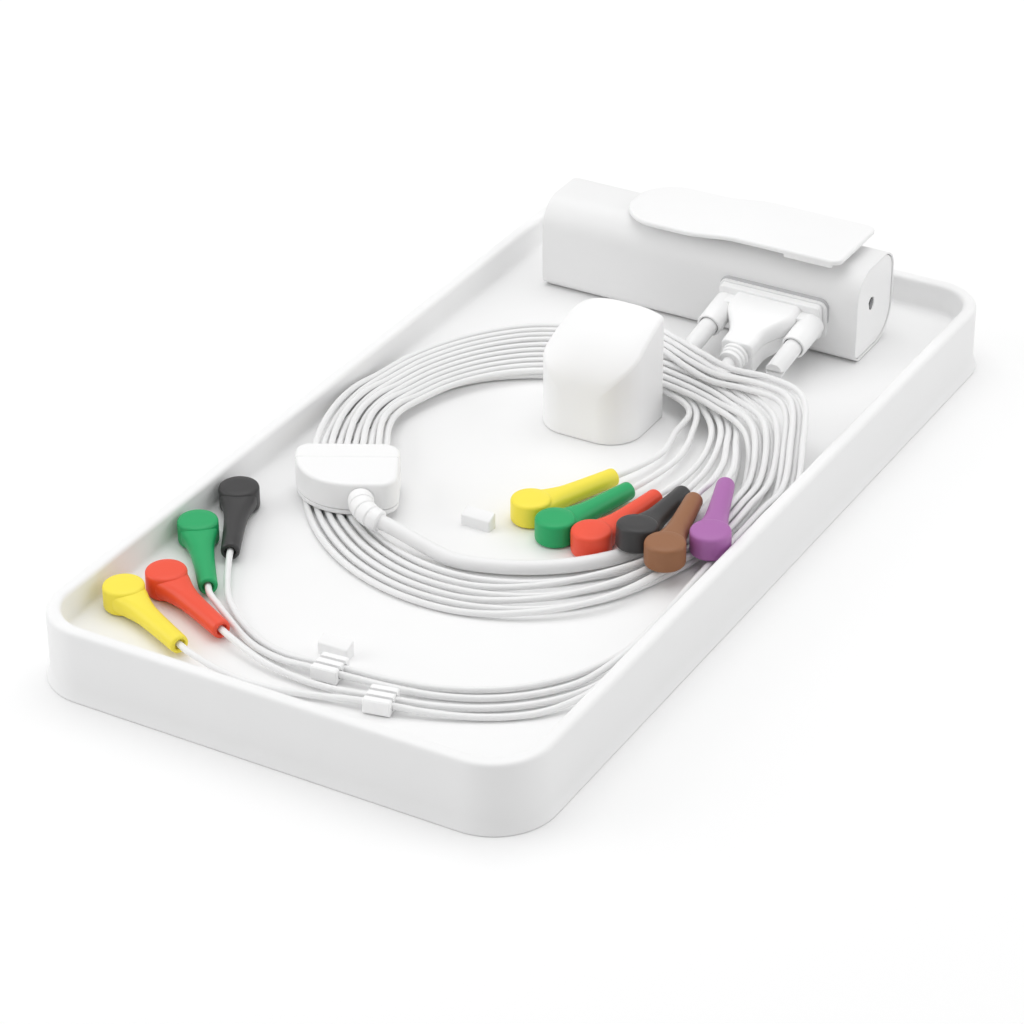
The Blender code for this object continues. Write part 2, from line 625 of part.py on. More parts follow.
def build_tray():
    rim = [(TRAY_RIM_ROUND * (1 - math.cos(turn)), TRAY_HEIGHT - TRAY_RIM_ROUND * (1 - math.sin(turn)))
           for turn in (0, math.pi / 6, math.pi / 3, math.pi / 2)]
    inner_rim = [(TRAY_WALL - offset, height) for offset, height in reversed(rim)]
    fillet = [(TRAY_WALL + TRAY_FILLET * (1 - math.cos(turn)),
               TRAY_FLOOR_TOP + TRAY_FILLET * (1 - math.sin(turn))) for turn in (0, math.pi / 4, math.pi / 2)]
    profile = [
        (TRAY_SKIRT, TRAY_FLOOR_TOP - TRAY_FLOOR), (TRAY_SKIRT - TRAY_FLARE, 0), (-TRAY_FLARE, 0),
        (-TRAY_FLARE * 0.8, TRAY_FLARE_HEIGHT * 0.2), (-TRAY_FLARE * 0.3, TRAY_FLARE_HEIGHT * 0.5),
        (0, TRAY_FLARE_HEIGHT), *rim, *inner_rim, *fillet,
    ]
    mesh = loft_mesh("tray", [tray_ring(offset, height) for offset, height in profile])
    tray = place("tray", mesh, TRAY_WHITE)
    tab_profile = [(-TAB_DEPTH / 2, -OVERRUN), (TAB_DEPTH / 2, -OVERRUN), (TAB_DEPTH / 2, TAB_HEIGHT),
                   (-TAB_DEPTH / 2, TAB_HEIGHT - TAB_SLOPE)]
    for row, tab_y in enumerate(TAB_ROWS):
        tab = prism_mesh(f"tab_{row}", tab_profile, -TAB_WIDTH / 2, TAB_WIDTH / 2)
        join(tray, tab, Matrix.Translation((TAB_X, tab_y, TRAY_FLOOR_TOP)) @ ALONG_X)


def post_roof(x, y):
    """The dome's height: its falls to the front and to the left, each a power, multiply. It falls a
    little, as a square, to the right, where the flat side wall cuts it off."""
    front = min(1.0, (POST_BACK - y) / (POST_BACK - POST_FRONT))
    left = max(0.0, (POST_PEAK_X - x) / (POST_PEAK_X - POST_LEFT))
    right = max(0.0, (x - POST_PEAK_X) / (POST_RIGHT - POST_PEAK_X))
    fullness = (1 - front ** POST_FRONT_POWER) * (1 - POST_LEFT_SHARE * left ** POST_LEFT_POWER)
    dome = (POST_TOP - POST_SHOULDER) * fullness ** POST_DOME_POWER
    return POST_SHOULDER + dome - POST_RIGHT_FALL * right ** 2


def build_post():
    corners = (POST_FRONT_CORNER, POST_FRONT_CORNER, POST_BACK_CORNER, POST_BACK_CORNER)
    outline = rounded_outline(POST_LEFT, POST_RIGHT, POST_FRONT, POST_BACK, corners)
    rings = [[(x, y, TRAY_FLOOR_TOP + GAP) for x, y in outline]]
    reach = (POST_BACK - POST_FRONT) / 2 - POST_BACK_CORNER
    for step in range(POST_STEPS + 1):
        inset = reach * (step / POST_STEPS) ** 2
        inner = [max(POST_BACK_CORNER - inset / 2, corner - inset) for corner in corners]
        outline = rounded_outline(POST_LEFT + inset, POST_RIGHT - inset,
                                  POST_FRONT + inset, POST_BACK - inset, inner)
        rings.append([(x, y, post_roof(x, y)) for x, y in outline])
    place("cable_post", loft_mesh("cable_post", rings), WHITE)


def build_lead_clip(name, x, y, turn):
    """A small block on the floor with two bores for the leads, slit at the top to let them in."""
    half_length = LEAD_CLIP_LENGTH / 2
    half_width = LEAD_CLIP_WIDTH / 2
    frame = Matrix.Translation((x, y, TRAY_FLOOR_TOP + GAP)) @ Matrix.Rotation(turn, 4, "Z")
    mesh = box_mesh(name, (-half_length, -half_width, 0), (half_length, half_width, LEAD_CLIP_HEIGHT))
    clip = place(name, mesh, WHITE, frame)
    round_edges(clip, LEAD_CLIP_EDGE, 1)
    for side in (-1, 1):
        bore_y = side * LEAD_CLIP_PITCH / 2
        bore = cylinder_mesh(f"{name}_bore", LEAD_CLIP_BORE, -half_length - OVERRUN, half_length + OVERRUN)
        cut(clip, bore, frame @ Matrix.Translation((0, bore_y, LEAD_CLIP_BORE_HEIGHT)) @ ALONG_X)
        slit_low = (-half_length - OVERRUN, bore_y - LEAD_CLIP_SLOT / 2, LEAD_CLIP_BORE_HEIGHT)
        slit = box_mesh(f"{name}_slit", slit_low,
                        (half_length + OVERRUN, bore_y + LEAD_CLIP_SLOT / 2, LEAD_CLIP_HEIGHT + OVERRUN))
        cut(clip, slit, frame)


# Module

def build_shell():
    """A tube, open at both ends, whose wall is thinner where the cap and the key sit in it."""
    shell = place("module_shell", prism_mesh("module_shell", module_outline(0), MODULE_LEFT, MODULE_RIGHT),
                  PALE_GREY, ALONG_X)
    bore = prism_mesh("shell_bore", module_outline(SHELL_WALL), MODULE_LEFT - OVERRUN, MODULE_RIGHT + OVERRUN)
    cut(shell, bore, ALONG_X)
    cap_seat = MODULE_LEFT + CAP_INSET + CAP_THICKNESS + GAP
    mouth = prism_mesh("cap_mouth", module_outline(MOUTH_WALL), MODULE_LEFT - OVERRUN, cap_seat)
    cut(shell, mouth, ALONG_X)
    key_seat = MODULE_RIGHT - KEY_INSET - KEY_THICKNESS - KEY_TRAVEL - GAP
    mouth = prism_mesh("key_mouth", module_outline(MOUTH_WALL), key_seat, MODULE_RIGHT + OVERRUN)
    cut(shell, mouth, ALONG_X)
    half_width = BEZEL_WIDTH / 2 + GAP
    half_height = BEZEL_HEIGHT / 2 + GAP
    hole = rounded_outline(-half_width, half_width, -half_height, half_height, (BEZEL_CORNER + GAP,) * 4, 3)
    bezel_hole = prism_mesh("bezel_hole", hole, -2 * BEZEL_DEPTH, BEZEL_PROUD + OVERRUN)
    cut(shell, bezel_hole, PLUG_FRAME @ OUT_OF_FRONT)


def build_battery_cap():
    face = MODULE_LEFT + CAP_INSET
    split = face + CAP_THICKNESS
    cap_mesh = prism_mesh("battery_cap", module_outline(MOUTH_WALL + GAP), face, split)
    cap = place("battery_cap", cap_mesh, PALE_GREY, ALONG_X)
    round_edges(cap, CAP_ROUND)
    spigot_outline = module_outline(CAP_SPIGOT_INSET)
    spigot = prism_mesh("cap_spigot", spigot_outline, split - OVERRUN / 2, split + CAP_SPIGOT)
    join(cap, spigot, ALONG_X)
    length, depth = CAP_NAIL_SLOT
    slot_low = (face - OVERRUN, CELL_Y - length / 2, CELL_Z - depth / 2)
    slot_high = (face + depth, CELL_Y + length / 2, CELL_Z + depth / 2)
    cut(cap, box_mesh("nail_slot", slot_low, slot_high))
    hang_on_joint("joint_battery_cap", (split, CELL_Y, CELL_Z), (cap,))


def build_power_key():
    face = MODULE_RIGHT - KEY_INSET
    back = face - KEY_THICKNESS
    outline = module_outline(MOUTH_WALL + KEY_CLEARANCE)
    key = place("power_key", prism_mesh("power_key", outline, back, face), PALE_GREY, ALONG_X)
    round_edges(key, KEY_ROUND)
    stem_place = Matrix.Translation((0, KEY_AXIS_Y, KEY_AXIS_Z)) @ ALONG_X
    stem_end = back - KEY_STEM_LENGTH
    join(key, cylinder_mesh("key_stem", KEY_STEM_RADIUS, stem_end, back + KEY_THICKNESS / 2), stem_place)
    pocket_floor = face - WINDOW_DEPTH - GAP
    cut(key, prism_mesh("window_pocket", window_outline(0), pocket_floor, face + OVERRUN), ALONG_X)
    lens_mesh = prism_mesh("status_lens", window_outline(GAP), face - WINDOW_DEPTH, face)
    lens = place("status_lens", lens_mesh, DARK_GREY, ALONG_X)
    hang_on_joint("joint_power_key", (face, KEY_AXIS_Y, KEY_AXIS_Z), (key, lens))
    frame_right = back - KEY_FRAME_GAP
    frame_left = frame_right - KEY_FRAME_THICKNESS
    frame_mesh = prism_mesh("key_frame", module_outline(CAP_SPIGOT_INSET), frame_left, frame_right)
    key_frame = place("key_frame", frame_mesh, PALE_GREY, ALONG_X)
    hole = cylinder_mesh("frame_hole", KEY_STEM_RADIUS + KEY_STEM_CLEARANCE, frame_left - OVERRUN, back)
    cut(key_frame, hole, stem_place)
    switch_right = stem_end - KEY_TRAVEL - GAP
    length, depth, height = KEY_SWITCH_SIZE
    low = (switch_right - length, KEY_AXIS_Y - depth / 2, KEY_AXIS_Z - height / 2)
    high = (switch_right, KEY_AXIS_Y + depth / 2, KEY_AXIS_Z + height / 2)
    place("key_switch", box_mesh("key_switch", low, high), INSULATOR_BLACK)


def build_electronics():
    half_length = BOARD_LENGTH / 2
    front = BOARD_Y - BOARD_THICKNESS / 2
    bottom = MODULE_BOTTOM + SHELL_WALL + GAP
    top = MODULE_TOP - SHELL_WALL - GAP
    low = (-half_length, front, bottom)
    high = (half_length, front + BOARD_THICKNESS, top)
    place("main_board", box_mesh("main_board", low, high), BOARD_GREEN)
    length, depth, height = RADIO_SIZE
    radio_bottom = (bottom + top - height) / 2
    low = (RADIO_X - length / 2, front - GAP - depth, radio_bottom)
    high = (RADIO_X + length / 2, front - GAP, radio_bottom + height)
    place("radio_can", box_mesh("radio_can", low, high), STEEL)
    cell_profile = [
        (0, CELL_LENGTH), (CELL_NUB_RADIUS, CELL_LENGTH), (CELL_NUB_RADIUS, CELL_LENGTH - CELL_NUB_LENGTH),
        (CELL_RADIUS, CELL_LENGTH - CELL_NUB_LENGTH), (CELL_RADIUS, 0), (0, 0),
    ]
    for name, start in (("cell_left", -CELL_LENGTH - GAP / 2), ("cell_right", GAP / 2)):
        turned(name, cell_profile, CELL_GREY, Matrix.Translation((start, CELL_Y, CELL_Z)) @ ALONG_X)
    cap_end = MODULE_LEFT + CAP_INSET + CAP_THICKNESS + CAP_SPIGOT
    spring_left = cap_end + GAP + CELL_SPRING_WIRE / 2
    spring_right = -CELL_LENGTH - GAP / 2 - GAP - CELL_SPRING_WIRE / 2
    count = CELL_SPRING_TURNS * CELL_SPRING_TURN_POINTS
    points = []
    for index in range(count + 1):
        turn = 2 * math.pi * index / CELL_SPRING_TURN_POINTS
        along = spring_left + (spring_right - spring_left) * index / count
        across = CELL_Y + CELL_SPRING_RADIUS * math.cos(turn)
        points.append((along, across, CELL_Z + CELL_SPRING_RADIUS * math.sin(turn)))
    tube("cell_spring", points, CELL_SPRING_WIRE, STEEL, 1)


def build_socket():
    frame = PLUG_FRAME @ OUT_OF_FRONT
    half_width = BEZEL_WIDTH / 2
    half_height = BEZEL_HEIGHT / 2
    outline = rounded_outline(-half_width, half_width, -half_height, half_height, (BEZEL_CORNER,) * 4, 3)
    bezel_mesh = prism_mesh("socket_bezel", outline, -BEZEL_DEPTH, BEZEL_PROUD)
    bezel = place("socket_bezel", bezel_mesh, PALE_GREY, frame)
    cut(bezel, prism_mesh("bezel_opening", dsub_outline(GAP), -SOCKET_DEPTH, SOCKET_REACH), frame)
    shell_mesh = prism_mesh("socket_shell", dsub_outline(0), -SOCKET_DEPTH, SOCKET_REACH)
    shell = place("socket_shell", shell_mesh, STEEL, frame)
    bore_outline = dsub_outline(-DSUB_SHEET)
    cut(shell, prism_mesh("socket_bore", bore_outline, -2 * SOCKET_DEPTH, 2 * SOCKET_REACH), frame)
    core_outline = dsub_outline(-DSUB_SHEET - GAP)
    core = prism_mesh("socket_insulator", core_outline, -INSULATOR_DEPTH, SOCKET_REACH - GAP)
    place("socket_insulator", core, INSULATOR_BLACK, frame)
    for name, side in (("jack_nut_left", -1), ("jack_nut_right", 1)):
        nut_frame = frame @ Matrix.Translation((side * SCREW_X, 0, 0))
        nut_bottom = -BEZEL_DEPTH
        cut(bezel, cylinder_mesh(f"{name}_seat", NUT_RADIUS + GAP, -SOCKET_DEPTH, SOCKET_REACH), nut_frame)
        nut = place(name, cylinder_mesh(name, NUT_RADIUS, nut_bottom, BEZEL_PROUD, 6), STEEL, nut_frame)
        nut_bore = cylinder_mesh(f"{name}_bore", NUT_BORE, nut_bottom - OVERRUN, BEZEL_PROUD + OVERRUN)
        cut(nut, nut_bore, nut_frame)


# Plug

def build_plug_shell():
    """The plug's steel flange and the D-shaped skirt that closes round the socket."""
    frame = PLUG_FRAME @ OUT_OF_FRONT
    half_width = FLANGE_WIDTH / 2
    half_height = FLANGE_HEIGHT / 2
    outline = rounded_outline(-half_width, half_width, -half_height, half_height, (FLANGE_CORNER,) * 4, 3)
    flange_back = FLANGE_PLANE - FLANGE_THICKNESS
    shell = place("plug_shell", prism_mesh("plug_shell", outline, flange_back, FLANGE_PLANE), STEEL, frame)
    skirt_end = FLANGE_PLANE - FLANGE_THICKNESS / 2
    skirt = prism_mesh("plug_skirt", dsub_outline(GAP + DSUB_SHEET), BEZEL_PROUD + GAP, skirt_end)
    join(shell, skirt, frame)
    cut(shell, prism_mesh("plug_shell_bore", dsub_outline(GAP), -SOCKET_DEPTH, HOOD_LENGTH), frame)
    for side in (-1, 1):
        hole = cylinder_mesh("flange_hole", SCREW_TIP_RADIUS + GAP, -SOCKET_DEPTH, HOOD_LENGTH)
        cut(shell, hole, frame @ Matrix.Translation((side * SCREW_X, 0, 0)))
    core_end = FLANGE_PLANE + PLUG_INSULATOR_DEPTH
    core = prism_mesh("plug_insulator", dsub_outline(-DSUB_SHEET - GAP), SOCKET_REACH, core_end)
    place("plug_insulator", core, INSULATOR_BLACK, frame)


def hood_flare(inset):
    """The hood's side from its full width to its nose: an S-curve, then straight."""
    start = FLANGE_PLANE + GAP + SLEEVE_WEB
    end = FLANGE_PLANE + GAP + HOOD_LENGTH
    points = []
    for step in range(HOOD_FLARE_STEPS + 1):
        share = step / HOOD_FLARE_STEPS
        half = HOOD_HALF_NOSE + (HOOD_HALF_WIDTH - HOOD_HALF_NOSE) * (1 + math.cos(math.pi * share)) / 2
        points.append((half - inset, start + (end - HOOD_NOSE_LENGTH - start) * share))
    points.append((HOOD_HALF_NOSE - inset, end - HOOD_CORNER))
    return points


def build_hood():
    """A tapering body between two screw sleeves, hollow inside, split into an upper and a lower half."""
    frame = PLUG_FRAME @ OUT_OF_FRONT
    flat = Matrix.Rotation(math.pi / 2, 4, "X")
    front = FLANGE_PLANE + GAP
    end = front + HOOD_LENGTH
    half_height = HOOD_HEIGHT / 2
    flare = hood_flare(0)
    outline = [
        (-HOOD_HALF_WIDTH, front), (HOOD_HALF_WIDTH, front), *flare, (HOOD_HALF_NOSE - HOOD_CORNER, end),
        (HOOD_CORNER - HOOD_HALF_NOSE, end), *((-x, y) for x, y in reversed(flare)),
    ]
    hood = place("hood", prism_mesh("hood", outline, -half_height, half_height), WHITE, flat)
    round_edges(hood, HOOD_EDGE, 2, 50)
    sides = [Matrix.Translation((side * SCREW_X, 0, 0)) for side in (-1, 1)]
    for side, sleeve_place in zip((-1, 1), sides):
        sleeve = cylinder_mesh("hood_sleeve", SLEEVE_RADIUS, front, front + SLEEVE_LENGTH, ROUND_SIDES)
        join(hood, sleeve, sleeve_place)
        web_low = (min(0, side * SCREW_X), -SLEEVE_WEB / 2, front)
        web_high = (max(0, side * SCREW_X), SLEEVE_WEB / 2, front + SLEEVE_WEB)
        join(hood, box_mesh("hood_web", web_low, web_high))
    inner = HOOD_HALF_WIDTH - HOOD_WALL
    flare = hood_flare(HOOD_WALL)
    cavity = [(-inner, front - OVERRUN), (inner, front - OVERRUN), *flare,
              *((-x, y) for x, y in reversed(flare))]
    cavity_half = half_height - HOOD_WALL
    cut(hood, prism_mesh("hood_cavity", cavity, -cavity_half, cavity_half), flat)
    for sleeve_place in sides:
        bore = cylinder_mesh("sleeve_bore", SCREW_RADIUS + GAP, front - OVERRUN, end + OVERRUN, ROUND_SIDES)
        cut(hood, bore, sleeve_place)
    bore_start = end - 2 * HOOD_CORNER
    exit_bore = cylinder_mesh("boot_bore", PLUG_BOOT_NECK + GAP, bore_start, end + OVERRUN, ROUND_SIDES)
    cut(hood, exit_bore)
    whole = evaluated_mesh(hood)
    bpy.data.objects.remove(hood, do_unlink=True)
    reach = BEZEL_WIDTH
    for name, low, high in (("plug_hood_top", -reach, -GAP / 2), ("plug_hood_bottom", GAP / 2, reach)):
        half = place(name, whole.copy(), WHITE, frame @ flat)
        keep(half, box_mesh(f"{name}_side", (-reach, -reach, low), (reach, reach, high)), frame @ flat)


def build_thumbscrews():
    frame = PLUG_FRAME @ OUT_OF_FRONT
    bottom = FLANGE_PLANE + 2 * GAP
    profile = [
        (0, SCREW_END), (SCREW_RADIUS - SCREW_CHAMFER, SCREW_END), (SCREW_RADIUS, SCREW_END - SCREW_CHAMFER),
        (SCREW_RADIUS, bottom), (SCREW_TIP_RADIUS, bottom), (SCREW_TIP_RADIUS, -SCREW_TIP_REACH),
        (0, -SCREW_TIP_REACH),
    ]
    for name, side in (("thumbscrew_left", -1), ("thumbscrew_right", 1)):
        screw_frame = frame @ Matrix.Translation((side * SCREW_X, 0, 0))
        screw = turned(name, profile, PALE_GREY, screw_frame)
        slot_low = (-SCREW_RADIUS - OVERRUN, -SCREW_SLOT_WIDTH / 2, SCREW_END - SCREW_SLOT_DEPTH)
        slot_high = (SCREW_RADIUS + OVERRUN, SCREW_SLOT_WIDTH / 2, SCREW_END + OVERRUN)
        cut(screw, box_mesh(f"{name}_slot", slot_low, slot_high), screw_frame)


def build_plug_boot():
    """A turned strain relief: a collar inside the hood, a neck through its nose and ribs outside."""
    hood_end = FLANGE_PLANE + GAP + HOOD_LENGTH
    ribs_start = hood_end + GAP
    step = (PLUG_BOOT_END - ribs_start) / PLUG_BOOT_RIBS
    profile = [(0, PLUG_BOOT_END)]
    for rib in range(PLUG_BOOT_RIBS):
        top = PLUG_BOOT_END - step * rib
        profile += [(PLUG_BOOT_RADIUS, top), (PLUG_BOOT_RADIUS, top - step * 0.6),
                    (PLUG_BOOT_NECK, top - step * 0.6), (PLUG_BOOT_NECK, top - step)]
    collar_top = PLUG_BOOT_START + PLUG_BOOT_COLLAR
    profile += [(PLUG_BOOT_NECK, collar_top), (PLUG_BOOT_RADIUS, collar_top),
                (PLUG_BOOT_RADIUS, PLUG_BOOT_START), (0, PLUG_BOOT_START)]
    turned("plug_boot", profile, WHITE, PLUG_FRAME @ OUT_OF_FRONT)


# Belt clip

def build_belt_clip():
    """A sprung plate, bent down towards its tip, over the module's top, on a pin between lugs on a saddle-shaped base."""
    axis = Matrix.Translation((CLIP_AXIS_X, CLIP_AXIS_Y, MODULE_TOP + CLIP_AXIS_RISE))
    half_width = CLIP_WIDTH / 2
    left = CLIP_LEFT - CLIP_AXIS_X
    right = CLIP_RIGHT - CLIP_AXIS_X
    plate_top = CLIP_PLATE_RISE + CLIP_THICKNESS
    under = [(left - OVERRUN, CLIP_PLATE_RISE - CLIP_BEND_DROP)]
    for step in range(CLIP_BEND_STEPS + 1):
        share = step / CLIP_BEND_STEPS
        x = CLIP_BEND_LEFT + (CLIP_BEND_RIGHT - CLIP_BEND_LEFT) * share - CLIP_AXIS_X
        fall = CLIP_BEND_DROP * (1 + math.cos(math.pi * share)) / 2
        under.append((x, CLIP_PLATE_RISE - fall))
    under.append((right + OVERRUN, CLIP_PLATE_RISE))
    side_view = under + [(x, z + CLIP_THICKNESS) for x, z in reversed(under)]
    reach = half_width + OVERRUN
    plate = place("belt_clip", prism_mesh("belt_clip", side_view, -reach, reach), WHITE, axis @ OUT_OF_FRONT)
    corners = (CLIP_TIP_CORNER, CLIP_HEEL_CORNER, CLIP_HEEL_CORNER, CLIP_TIP_CORNER)
    outline = rounded_outline(left, right, -half_width, half_width, corners)
    keep(plate, prism_mesh("clip_outline", outline, -plate_top - OVERRUN, plate_top + OVERRUN), axis)
    lip_left = CLIP_LIP_LEFT - CLIP_AXIS_X
    lip_right = CLIP_LIP_RIGHT - CLIP_AXIS_X
    lug_half = CLIP_LUG_HALF + 2 * GAP
    lug_half_length = CLIP_LUG_LENGTH / 2 + GAP
    middle = CLIP_PLATE_RISE + CLIP_THICKNESS / 2
    for side in (-1, 1):
        edge = side * half_width
        inner_edge = side * (half_width - CLIP_LIP_THICKNESS)
        lip_low = (lip_left, min(edge, inner_edge), CLIP_LIP_BOTTOM)
        lip_high = (lip_right, max(edge, inner_edge), middle)
        join(plate, box_mesh(f"clip_lip_{side}", lip_low, lip_high), axis)
        knuckle_y = side * CLIP_KNUCKLE_Y
        knuckle_low = (-CLIP_KNUCKLE_HALF, knuckle_y - CLIP_KNUCKLE_LENGTH / 2, -CLIP_KNUCKLE_HALF)
        knuckle_high = (CLIP_KNUCKLE_HALF, knuckle_y + CLIP_KNUCKLE_LENGTH / 2, middle)
        join(plate, box_mesh(f"clip_knuckle_{side}", knuckle_low, knuckle_high), axis)
        lug_y = side * CLIP_LUG_Y
        pocket_low = (-lug_half, lug_y - lug_half_length, 0)
        pocket_high = (lug_half, lug_y + lug_half_length, CLIP_LUG_RISE + 2 * GAP)
        cut(plate, box_mesh(f"lug_pocket_{side}", pocket_low, pocket_high), axis)
    room = CLIP_SPRING_RADIUS + CLIP_SPRING_WIRE / 2 + GAP
    room_length = CLIP_KNUCKLE_Y - CLIP_KNUCKLE_LENGTH / 2
    cut(plate, box_mesh("spring_pocket", (-room, -room_length, 0), (room, room_length, room)), axis)
    half_pin = CLIP_PIN_LENGTH / 2
    along_y = axis @ OUT_OF_FRONT
    bore = cylinder_mesh("knuckle_bore", CLIP_PIN_RADIUS + GAP, -half_pin, half_pin)
    cut(plate, bore, along_y)
    place("clip_pin", cylinder_mesh("clip_pin", CLIP_PIN_RADIUS, -half_pin, half_pin), STEEL, along_y)
    build_clip_base(axis, along_y, bore.copy())
    build_clip_spring(axis)


def build_clip_base(axis, along_y, bore):
    """A saddle on the shell's rounded top, slotted for the knuckles, with a lug at each side of them."""
    saddle_depth = MODULE_FRONT_TOP_CORNER / 2
    half_base = CLIP_BASE_WIDTH / 2
    low = (-CLIP_BASE_HALF, -half_base, -CLIP_AXIS_RISE - saddle_depth)
    high = (CLIP_BASE_HALF, half_base, CLIP_BASE_TOP)
    base = place("clip_base", box_mesh("clip_base", low, high), WHITE, axis)
    lug_bottom = GAP - CLIP_AXIS_RISE
    for side in (-1, 1):
        lug_y = side * CLIP_LUG_Y
        lug_low = (-CLIP_LUG_HALF, lug_y - CLIP_LUG_LENGTH / 2, lug_bottom)
        lug_high = (CLIP_LUG_HALF, lug_y + CLIP_LUG_LENGTH / 2, CLIP_LUG_RISE)
        join(base, box_mesh(f"clip_lug_{side}", lug_low, lug_high), axis)
    slot_half = CLIP_KNUCKLE_Y + CLIP_KNUCKLE_LENGTH / 2 + GAP
    slot_low = (-2 * CLIP_BASE_HALF, -slot_half, -CLIP_AXIS_RISE)
    slot_high = (CLIP_KNUCKLE_HALF + 2 * GAP, slot_half, CLIP_AXIS_RISE)
    cut(base, box_mesh("knuckle_slot", slot_low, slot_high), axis)
    saddle = prism_mesh("shell_under_clip", module_outline(-GAP), MODULE_LEFT, MODULE_RIGHT)
    cut(base, saddle, ALONG_X)
    cut(base, bore, along_y)


def build_clip_spring(axis):
    """A coil round the pin between the two knuckles."""
    count = CLIP_SPRING_TURNS * CLIP_SPRING_TURN_POINTS
    points = []
    for index in range(count + 1):
        turn = 2 * math.pi * index / CLIP_SPRING_TURN_POINTS
        along = CLIP_SPRING_PITCH * (index - count / 2) / CLIP_SPRING_TURN_POINTS
        local = Vector((CLIP_SPRING_RADIUS * math.cos(turn), along, CLIP_SPRING_RADIUS * math.sin(turn)))
        points.append(axis @ local)
    tube("clip_spring", points, CLIP_SPRING_WIRE, STEEL, 1)


# Yoke

def build_yoke():
    place("yoke_base", prism_mesh("yoke_base", yoke_outline(0), 0, YOKE_SPLIT), WHITE, YOKE_FRAME)
    board_bottom = YOKE_SPLIT + YOKE_BOARD_RISE
    board_top = board_bottom + YOKE_BOARD_THICKNESS
    board = prism_mesh("yoke_board", yoke_outline(YOKE_WALL + GAP), board_bottom, board_top)
    place("yoke_board", board, BOARD_GREEN, YOKE_FRAME)
    lid_mesh = prism_mesh("yoke_lid", yoke_outline(0), YOKE_SPLIT + GAP, YOKE_HEIGHT)
    lid = place("yoke_lid", lid_mesh, WHITE, YOKE_FRAME)
    round_edges(lid, YOKE_EDGE, 2, 50)
    cavity = prism_mesh("yoke_cavity", yoke_outline(YOKE_WALL), 0, YOKE_HEIGHT - YOKE_WALL)
    cut(lid, cavity, YOKE_FRAME)
    step_low = (-YOKE_WIDTH, 2 * YOKE_FRONT, YOKE_HEIGHT - YOKE_STEP_DEPTH)
    step_high = (YOKE_WIDTH, YOKE_STEP_Y, YOKE_HEIGHT + OVERRUN)
    cut(lid, box_mesh("yoke_step", step_low, step_high), YOKE_FRAME)
    steps = 2 * YOKE_BOOT_RIBS
    radii = [1.0 if step % 2 == 0 else YOKE_BOOT_NECK / YOKE_BOOT_RADIUS for step in range(steps)]
    radii.append(YOKE_BOOT_NECK / YOKE_BOOT_RADIUS)
    tube("yoke_boot", yoke_boot_points(steps), 2 * YOKE_BOOT_RADIUS, WHITE, 3, radii)


def yoke_boot_points(steps):
    """The strain relief leaves the yoke square to its front and bends to the right, dipping a little."""
    points = []
    for step in range(steps + 1):
        turn = YOKE_BOOT_TURN * step / steps
        x = YOKE_BOOT_X + YOKE_BOOT_BEND * (1 - math.cos(turn))
        y = YOKE_FRONT - GAP - YOKE_BOOT_BEND * math.sin(turn)
        z = YOKE_HEIGHT / 2 - YOKE_BOOT_DROP * (step / steps) ** 2
        points.append(YOKE_FRAME @ Vector((x, y, z)))
    return points


# Cables

def in_metres(points):
    return [Vector(point) * MM for point in points]


def ring_radius(angle, half_axes):
    """The radius at an angle of an ellipse whose long axis stands at RING_TILT."""
    along, across = half_axes
    turn = angle - RING_TILT
    return along * across / math.hypot(across * math.cos(turn), along * math.sin(turn))


def ring_point(degrees, share, height):
    angle = math.radians(degrees)
    inner = ring_radius(angle, RING_INNER)
    radius = inner + (ring_radius(angle, RING_OUTER) - inner) * share
    across = RING_CENTRE_X + radius * math.cos(angle)
    return Vector((across, RING_CENTRE_Y + radius * math.sin(angle), height))


def lane(station, index):
    """A lead's own values at a station: lane share, layer, lift and how much the lift grows outwards."""
    first, step, per_step, even_layer, odd_layer, lift, growth = station[1:]
    layer = odd_layer if index % 2 else even_layer
    return first + step * (index // per_step), layer, lift, growth


def coil_point(degrees, values):
    share, layer, lift, growth = values
    hump = lift * (LIFT_INNER + LIFT_RISE * growth * max(share, 0))
    return ring_point(degrees, share, LEAD_REST + LEAD_LAYER * layer + hump)


def coil_points(stations, index):
    """One lead's way round the coil, eased from station to station."""
    points = []
    for here, there in zip(stations, stations[1:]):
        steps = max(1, round((here[0] - there[0]) * TURN_POINTS / 360))
        before = lane(here, index)
        after = lane(there, index)
        for step in range(steps):
            share = step / steps
            ease = share * share * (3 - 2 * share)
            values = [start + (end - start) * ease for start, end in zip(before, after)]
            points.append(coil_point(here[0] + (there[0] - here[0]) * share, values))
    points.append(coil_point(stations[-1][0], lane(stations[-1], index)))
    return points


def bend(start, start_pull, end, end_pull, count):
    """Points between two ends on a cubic Bezier curve with the two given control points."""
    points = []
    for index in range(1, count + 1):
        share = index / (count + 1)
        rest = 1 - share
        points.append(start * rest ** 3 + start_pull * (3 * rest * rest * share)
                      + end_pull * (3 * rest * share * share) + end * share ** 3)
    return points


def fan_points(index, leads, coil):
    """From the lead's place in the row on the yoke's back to the start of its lane."""
    heading = YOKE_FRAME.to_3x3() @ Vector((0, 1, 0))
    across = ((leads - 1) / 2 - index) * LEAD_PITCH
    exit_point = YOKE_FRAME @ Vector((across, YOKE_BACK + GAP, YOKE_HEIGHT / 2))
    straight = exit_point + heading * LEAD_DIAMETER
    stagger = Vector((0, 0, FAN_STAGGER if index % 2 else 0))
    along = (coil[1] - coil[0]).normalized()
    middle = bend(straight, straight + heading * FAN_START_REACH + stagger,
                  coil[0], coil[0] - along * FAN_END_REACH + stagger, FAN_POINTS)
    return [exit_point, straight, *middle]


